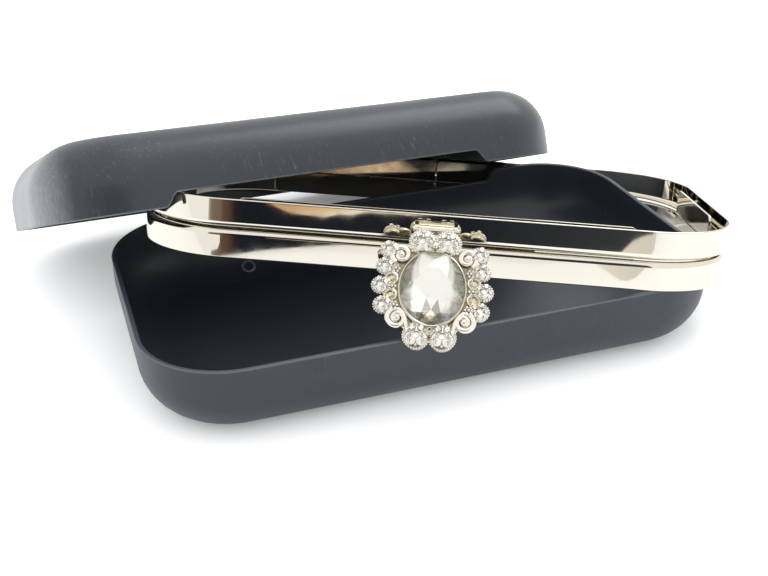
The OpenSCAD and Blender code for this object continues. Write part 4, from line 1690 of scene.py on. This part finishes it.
# Glowing sheets whose colours are painted reflections in the glossy surfaces.
DARK_FLAG = MirrorCard(
    name="dark_flag",
    edge=(
        (-0.8, 0.062), (-0.515, 0.054), (-0.51, 0.046), (-0.54, 0.041), (-0.67, 0.038), (-0.7, 0.034),
        (-0.55, 0.0325), (-0.46, 0.034), (-0.25, 0.04), (-0.16, 0.039), (-0.09, 0.035), (-0.062, 0.032),
        (-0.05, 0.038), (-0.041, 0.042), (-0.03, 0.0445), (-0.02, 0.046), (0.03, 0.047),
    ),
    top=0.45,
    y=-0.6,
    blend=Blend.SIDEWAYS,
    tones=(
        (-0.8, "#cfc6b8"), (-0.72, "#83776c"), (-0.517, "#7c685a"), (-0.461, "#5f493f"), (-0.446, "#292628"),
        (-0.43, "#1a1f28"), (-0.2, "#1d222a"), (0.03, "#42464a"),
    ),
)
CHAMPAGNE_CARD = MirrorCard(
    name="champagne_card",
    edge=(
        (-0.388, 0.082), (-0.362, 0.073), (-0.34, 0.068), (-0.33, 0.065), (-0.314, 0.0655), (-0.3, 0.0622),
        (-0.284, 0.063), (-0.268, 0.061), (-0.245, 0.0625), (-0.21, 0.07),
    ),
    top=0.1,
    y=-0.598,
    blend=Blend.UPWARDS,
    tones=((0.06, "#cfc2a6"), (0.064, "#fff8e6"), (0.07, "#ead2b2"), (0.08, "#d3a985")),
)
BEIGE_CARD = MirrorCard(
    name="beige_card",
    edge=(
        (-0.08, 0.026), (-0.066, 0.017), (-0.055, 0.0125), (-0.045, 0.0115), (-0.035, 0.0135),
        (-0.025, 0.019), (-0.015, 0.026), (0.02, 0.032),
    ),
    top=0.06,
    y=-0.602,
    blend=Blend.SIDEWAYS,
    tones=((-0.08, "#f0ede6"), (-0.03, "#e4e1d8")),
)


@dataclass(frozen=True)
class Studio:
    """The pale floor, the soft light and the camera of the photograph, in metres and degrees."""

    floor_size: float = 6.0
    floor_drop: float = 0.0002
    floor_colour: str = "#e3e3e4"
    floor_glow: float = 0.92
    mirrored_glow: float = 0.6
    # How far the floor's painted shadow reaches and which way it leans.
    shadow_reach: float = 0.061
    shadow_way: tuple[float, float, float] = (-0.15, -0.4, 0.9)
    surround: str = "#eef3f8"
    surround_light: float = 0.75
    lamp_at: tuple[float, float, float] = (0.9, 0.5, 1.3)
    lamp_size: float = 1.1
    lamp_power: float = 9.0
    azimuth: float = -18.259
    elevation: float = 28.395
    distance: float = 0.369278
    target: tuple[float, float, float] = (-0.018085, -0.02997, 0.030)
    roll: float = -1.073
    focal_px: float = 1121.06
    image_w: int = 768
    sensor: float = 36.0
    clip_start: float = 0.01

    def camera(self) -> None:
        """Set up the camera at the photograph's viewing angle."""
        a, e, tilt = (math.radians(angle) for angle in (self.azimuth, self.elevation, self.roll))
        back = Vector((math.sin(a) * math.cos(e), -math.cos(a) * math.cos(e), math.sin(e)))
        right = (-back).cross(Vector((0, 0, 1))).normalized()
        up = back.cross(right)
        tilted = right * math.cos(tilt) + up * math.sin(tilt)
        upright = up * math.cos(tilt) - right * math.sin(tilt)
        data = bpy.data.cameras.new("camera")
        data.sensor_width = self.sensor
        data.lens = self.focal_px * self.sensor / self.image_w
        data.clip_start = self.clip_start
        camera = link("camera", data)
        turn = Matrix((tilted, upright, back)).transposed().to_4x4()
        camera.matrix_world = Matrix.Translation(Vector(self.target) + back * self.distance) @ turn
        bpy.context.scene.camera = camera

    def seen(self, add: AddNode, straight: float, mirrored: float) -> bpy.types.Node:
        """Make a strength for what the camera sees, which puts no light on the object.

        Args:
            add: Adds a node to the tree.
            straight: Strength of what is seen straight.
            mirrored: Strength of what is seen in metal or through glass.

        Returns:
            The node that gives the strength.
        """
        path = add("ShaderNodeLightPath").outputs
        ways = {0: path["Is Glossy Ray"], 1: path["Is Transmission Ray"]}
        bounced = add("ShaderNodeMath", ways, operation="MAXIMUM")
        direct = add("ShaderNodeMath", {0: path["Is Camera Ray"], 1: straight}, operation="MULTIPLY")
        return add("ShaderNodeMath", {0: bounced, 1: mirrored, 2: direct}, operation="MULTIPLY_ADD")

    def floor(self) -> None:
        """Lay the pale floor, whose paper keeps the real shadow, whose glow is dimmed near the object as a
        painted shadow, and which burns out to white away from it.
        """
        mesh = bpy.data.meshes.new("floor")
        s = self.floor_size / 2
        mesh.from_pydata([(-s, -s, 0), (s, -s, 0), (s, s, 0), (-s, s, 0)], [], [(0, 1, 2, 3)])
        floor = link("floor", mesh)
        floor.location.z = -self.floor_drop
        material, add = new_material("pale_table")
        paper = add("ShaderNodeBsdfDiffuse", {"Color": linear(self.floor_colour)})
        # The glow is dimmed by occlusion tilted towards the front: a painted shadow near the object.
        way = add("ShaderNodeCombineXYZ", dict(enumerate(self.shadow_way)))
        reach = {"Distance": self.shadow_reach, "Normal": way}
        clear = add("ShaderNodeAmbientOcclusion", reach, samples=16).outputs["AO"]
        level = self.seen(add, self.floor_glow, self.mirrored_glow)
        strength = add("ShaderNodeMath", {0: level, 1: clear}, operation="MULTIPLY")
        glow = add("ShaderNodeEmission", {"Color": WHITE, "Strength": strength})
        both = add("ShaderNodeAddShader", {0: paper, 1: glow})
        add("ShaderNodeOutputMaterial", {"Surface": both})
        mesh.materials.append(material)

    def light(self) -> None:
        """Light the set: a white surround and one large soft lamp from the right and behind."""
        world = bpy.data.worlds.new("surround")
        bpy.context.scene.world = world
        world.use_nodes = True
        world.node_tree.nodes.clear()
        add = partial(add_node, world.node_tree)
        seen = add("ShaderNodeBackground", {"Color": WHITE, "Strength": 1.0})
        lit = add("ShaderNodeBackground", {"Color": linear(self.surround), "Strength": self.surround_light})
        mixed = add("ShaderNodeMixShader", {0: self.seen(add, 1.0, 1.0), 1: lit, 2: seen})
        add("ShaderNodeOutputWorld", {"Surface": mixed})
        data = bpy.data.lights.new("window", "AREA")
        data.size = self.lamp_size
        data.energy = self.lamp_power
        lamp = link("window", data)
        lamp.location = self.lamp_at
        lamp.rotation_euler = (Vector(self.target) - lamp.location).to_track_quat("-Z", "Y").to_euler()

    def build(self) -> None:
        """Set up the camera, the floor, the mirrored cards and the light."""
        self.camera()
        self.floor()
        for card in (DARK_FLAG, CHAMPAGNE_CARD, BEIGE_CARD):
            card.hang()
        self.light()


def dress_nodes(nodes: dict[str, bpy.types.Object], finishes: Finishes) -> None:
    """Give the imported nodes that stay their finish.

    Args:
        nodes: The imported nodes' objects.
        finishes: Materials by name.
    """
    kept = {
        "hinge": ("lower_hinge_leaf", "upper_hinge_leaf", "hinge_pin"),
        "clasp": (
            "catch_plate", "catch_rivets", "clasp_bracket", "bracket_rivets", "clasp_pin", "clasp_flap",
        ),
        "posts": ("brooch_posts",),
    }
    for finish, names in kept.items():
        for name in names:
            for slot in nodes[name].material_slots:
                slot.material = finishes[finish]
            LOG.info("%s keeps its packed shape", name)


def make_finishes() -> Finishes:
    """Make every material once.

    Returns:
        Materials by name.
    """
    finishes = {
        # The lower shell is the darker, cleaner moulding. The upper one is scuffed, and pale on its end and
        # rim, where worn paleness meets a painted highlight.
        "lower_shell": MouldedPlastic("black_abs", "#383e46", "#626a72", "#8a9197", 0.38, 0.4),
        "upper_shell": MouldedPlastic("charcoal_abs", "#363d44", "#788086", "#c8cccd", 0.34, 0.7),
        # The rims are near mirrors that waver. The strips behind them are flatter and a little hazy.
        "rim": NickelPlate("bright_nickel", "#ece6d8", 0.02, 0.22),
        "strip": NickelPlate("nickel_strip", "#e2dac8", 0.06, 0.05),
        # The hidden hardware is duller: satin steel in the hinge, plain plate on the clasp and its posts.
        "hinge": NickelPlate("hinge_steel", "#c9c4ba", 0.16, 0.05),
        "clasp": NickelPlate("clasp_nickel", "#e4dcc9", 0.07, 0.04),
        "posts": NickelPlate("post_nickel", "#cfc8b8", 0.12, 0.04),
        # The casting is white on its high places and brown below, the brown being patina and partly painted
        # shade, and the bezel's wall is tinted grey as a painted shade round the stone.
        "casting": CastMetal("cast_nickel", "#faf5ea", "#978b6c", 0.2),
        # The bezel's grey tint is a painted shade round the stone.
        "bezel": NickelPlate("bezel_nickel", "#d8d2bf", 0.12, 0.02),
        # The stones' backs: silver foil, and a painted foil that keeps the centre stone white.
        "foil": NickelPlate("stone_foil", "#f8f6f0", 0.12, 0.0),
        "soft_foil": NickelPlate("painted_foil", "#fdfcf8", 0.14, 0.0),
        # Clear and straw-coloured crystal, and the tints of a few of the centre stone's facets, which are
        # painted reflections.
        "clear": CutGlass("clear_crystal", "#fbfbf8"),
        "pale": CutGlass("jonquil_crystal", "#f3e9c8"),
        "cream_reflection": CutGlass("cream_facet_crystal", "#f2e7c6"),
        "dark_reflection": CutGlass("smoke_facet_crystal", "#85837d"),
        "haze": CutGlass("haze_facet_crystal", "#dddccb"),
    }
    return {word: finish.material() for word, finish in finishes.items()}


def main() -> None:
    """Build the scene in order and report each piece."""
    logging.basicConfig(level=logging.INFO, format="%(message)s")
    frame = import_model()
    bpy.context.scene.view_settings.view_transform = "Standard"
    finishes = make_finishes()
    layout = Layout(frame)
    Studio().build()
    # The upper shell's end is drawn pale: worn paleness and a painted highlight.
    clean, worn = HalfShell(), HalfShell(end_wear_and_highlight=0.9)
    lower = clean.build("lower_moulding", layout.lower_shell())
    settle(lower, "bottom_shell", Slot.LOWER_SHELL, finishes["lower_shell"], "bottom_shell")
    upper = worn.build("upper_moulding", layout.upper_shell(worn))
    settle(upper, "top_shell", Slot.UPPER_SHELL, finishes["upper_shell"], "top_shell")
    rims = ClaspFrame()
    rims.build(layout.clasp_frame(rims.hinge_y), finishes["rim"], finishes["strip"])
    brooch = Brooch()
    brooch.build(layout.brooch(brooch.ring_t), finishes)
    dress_nodes(frame["nodes"], finishes)


if __name__ == "__main__":
    main()
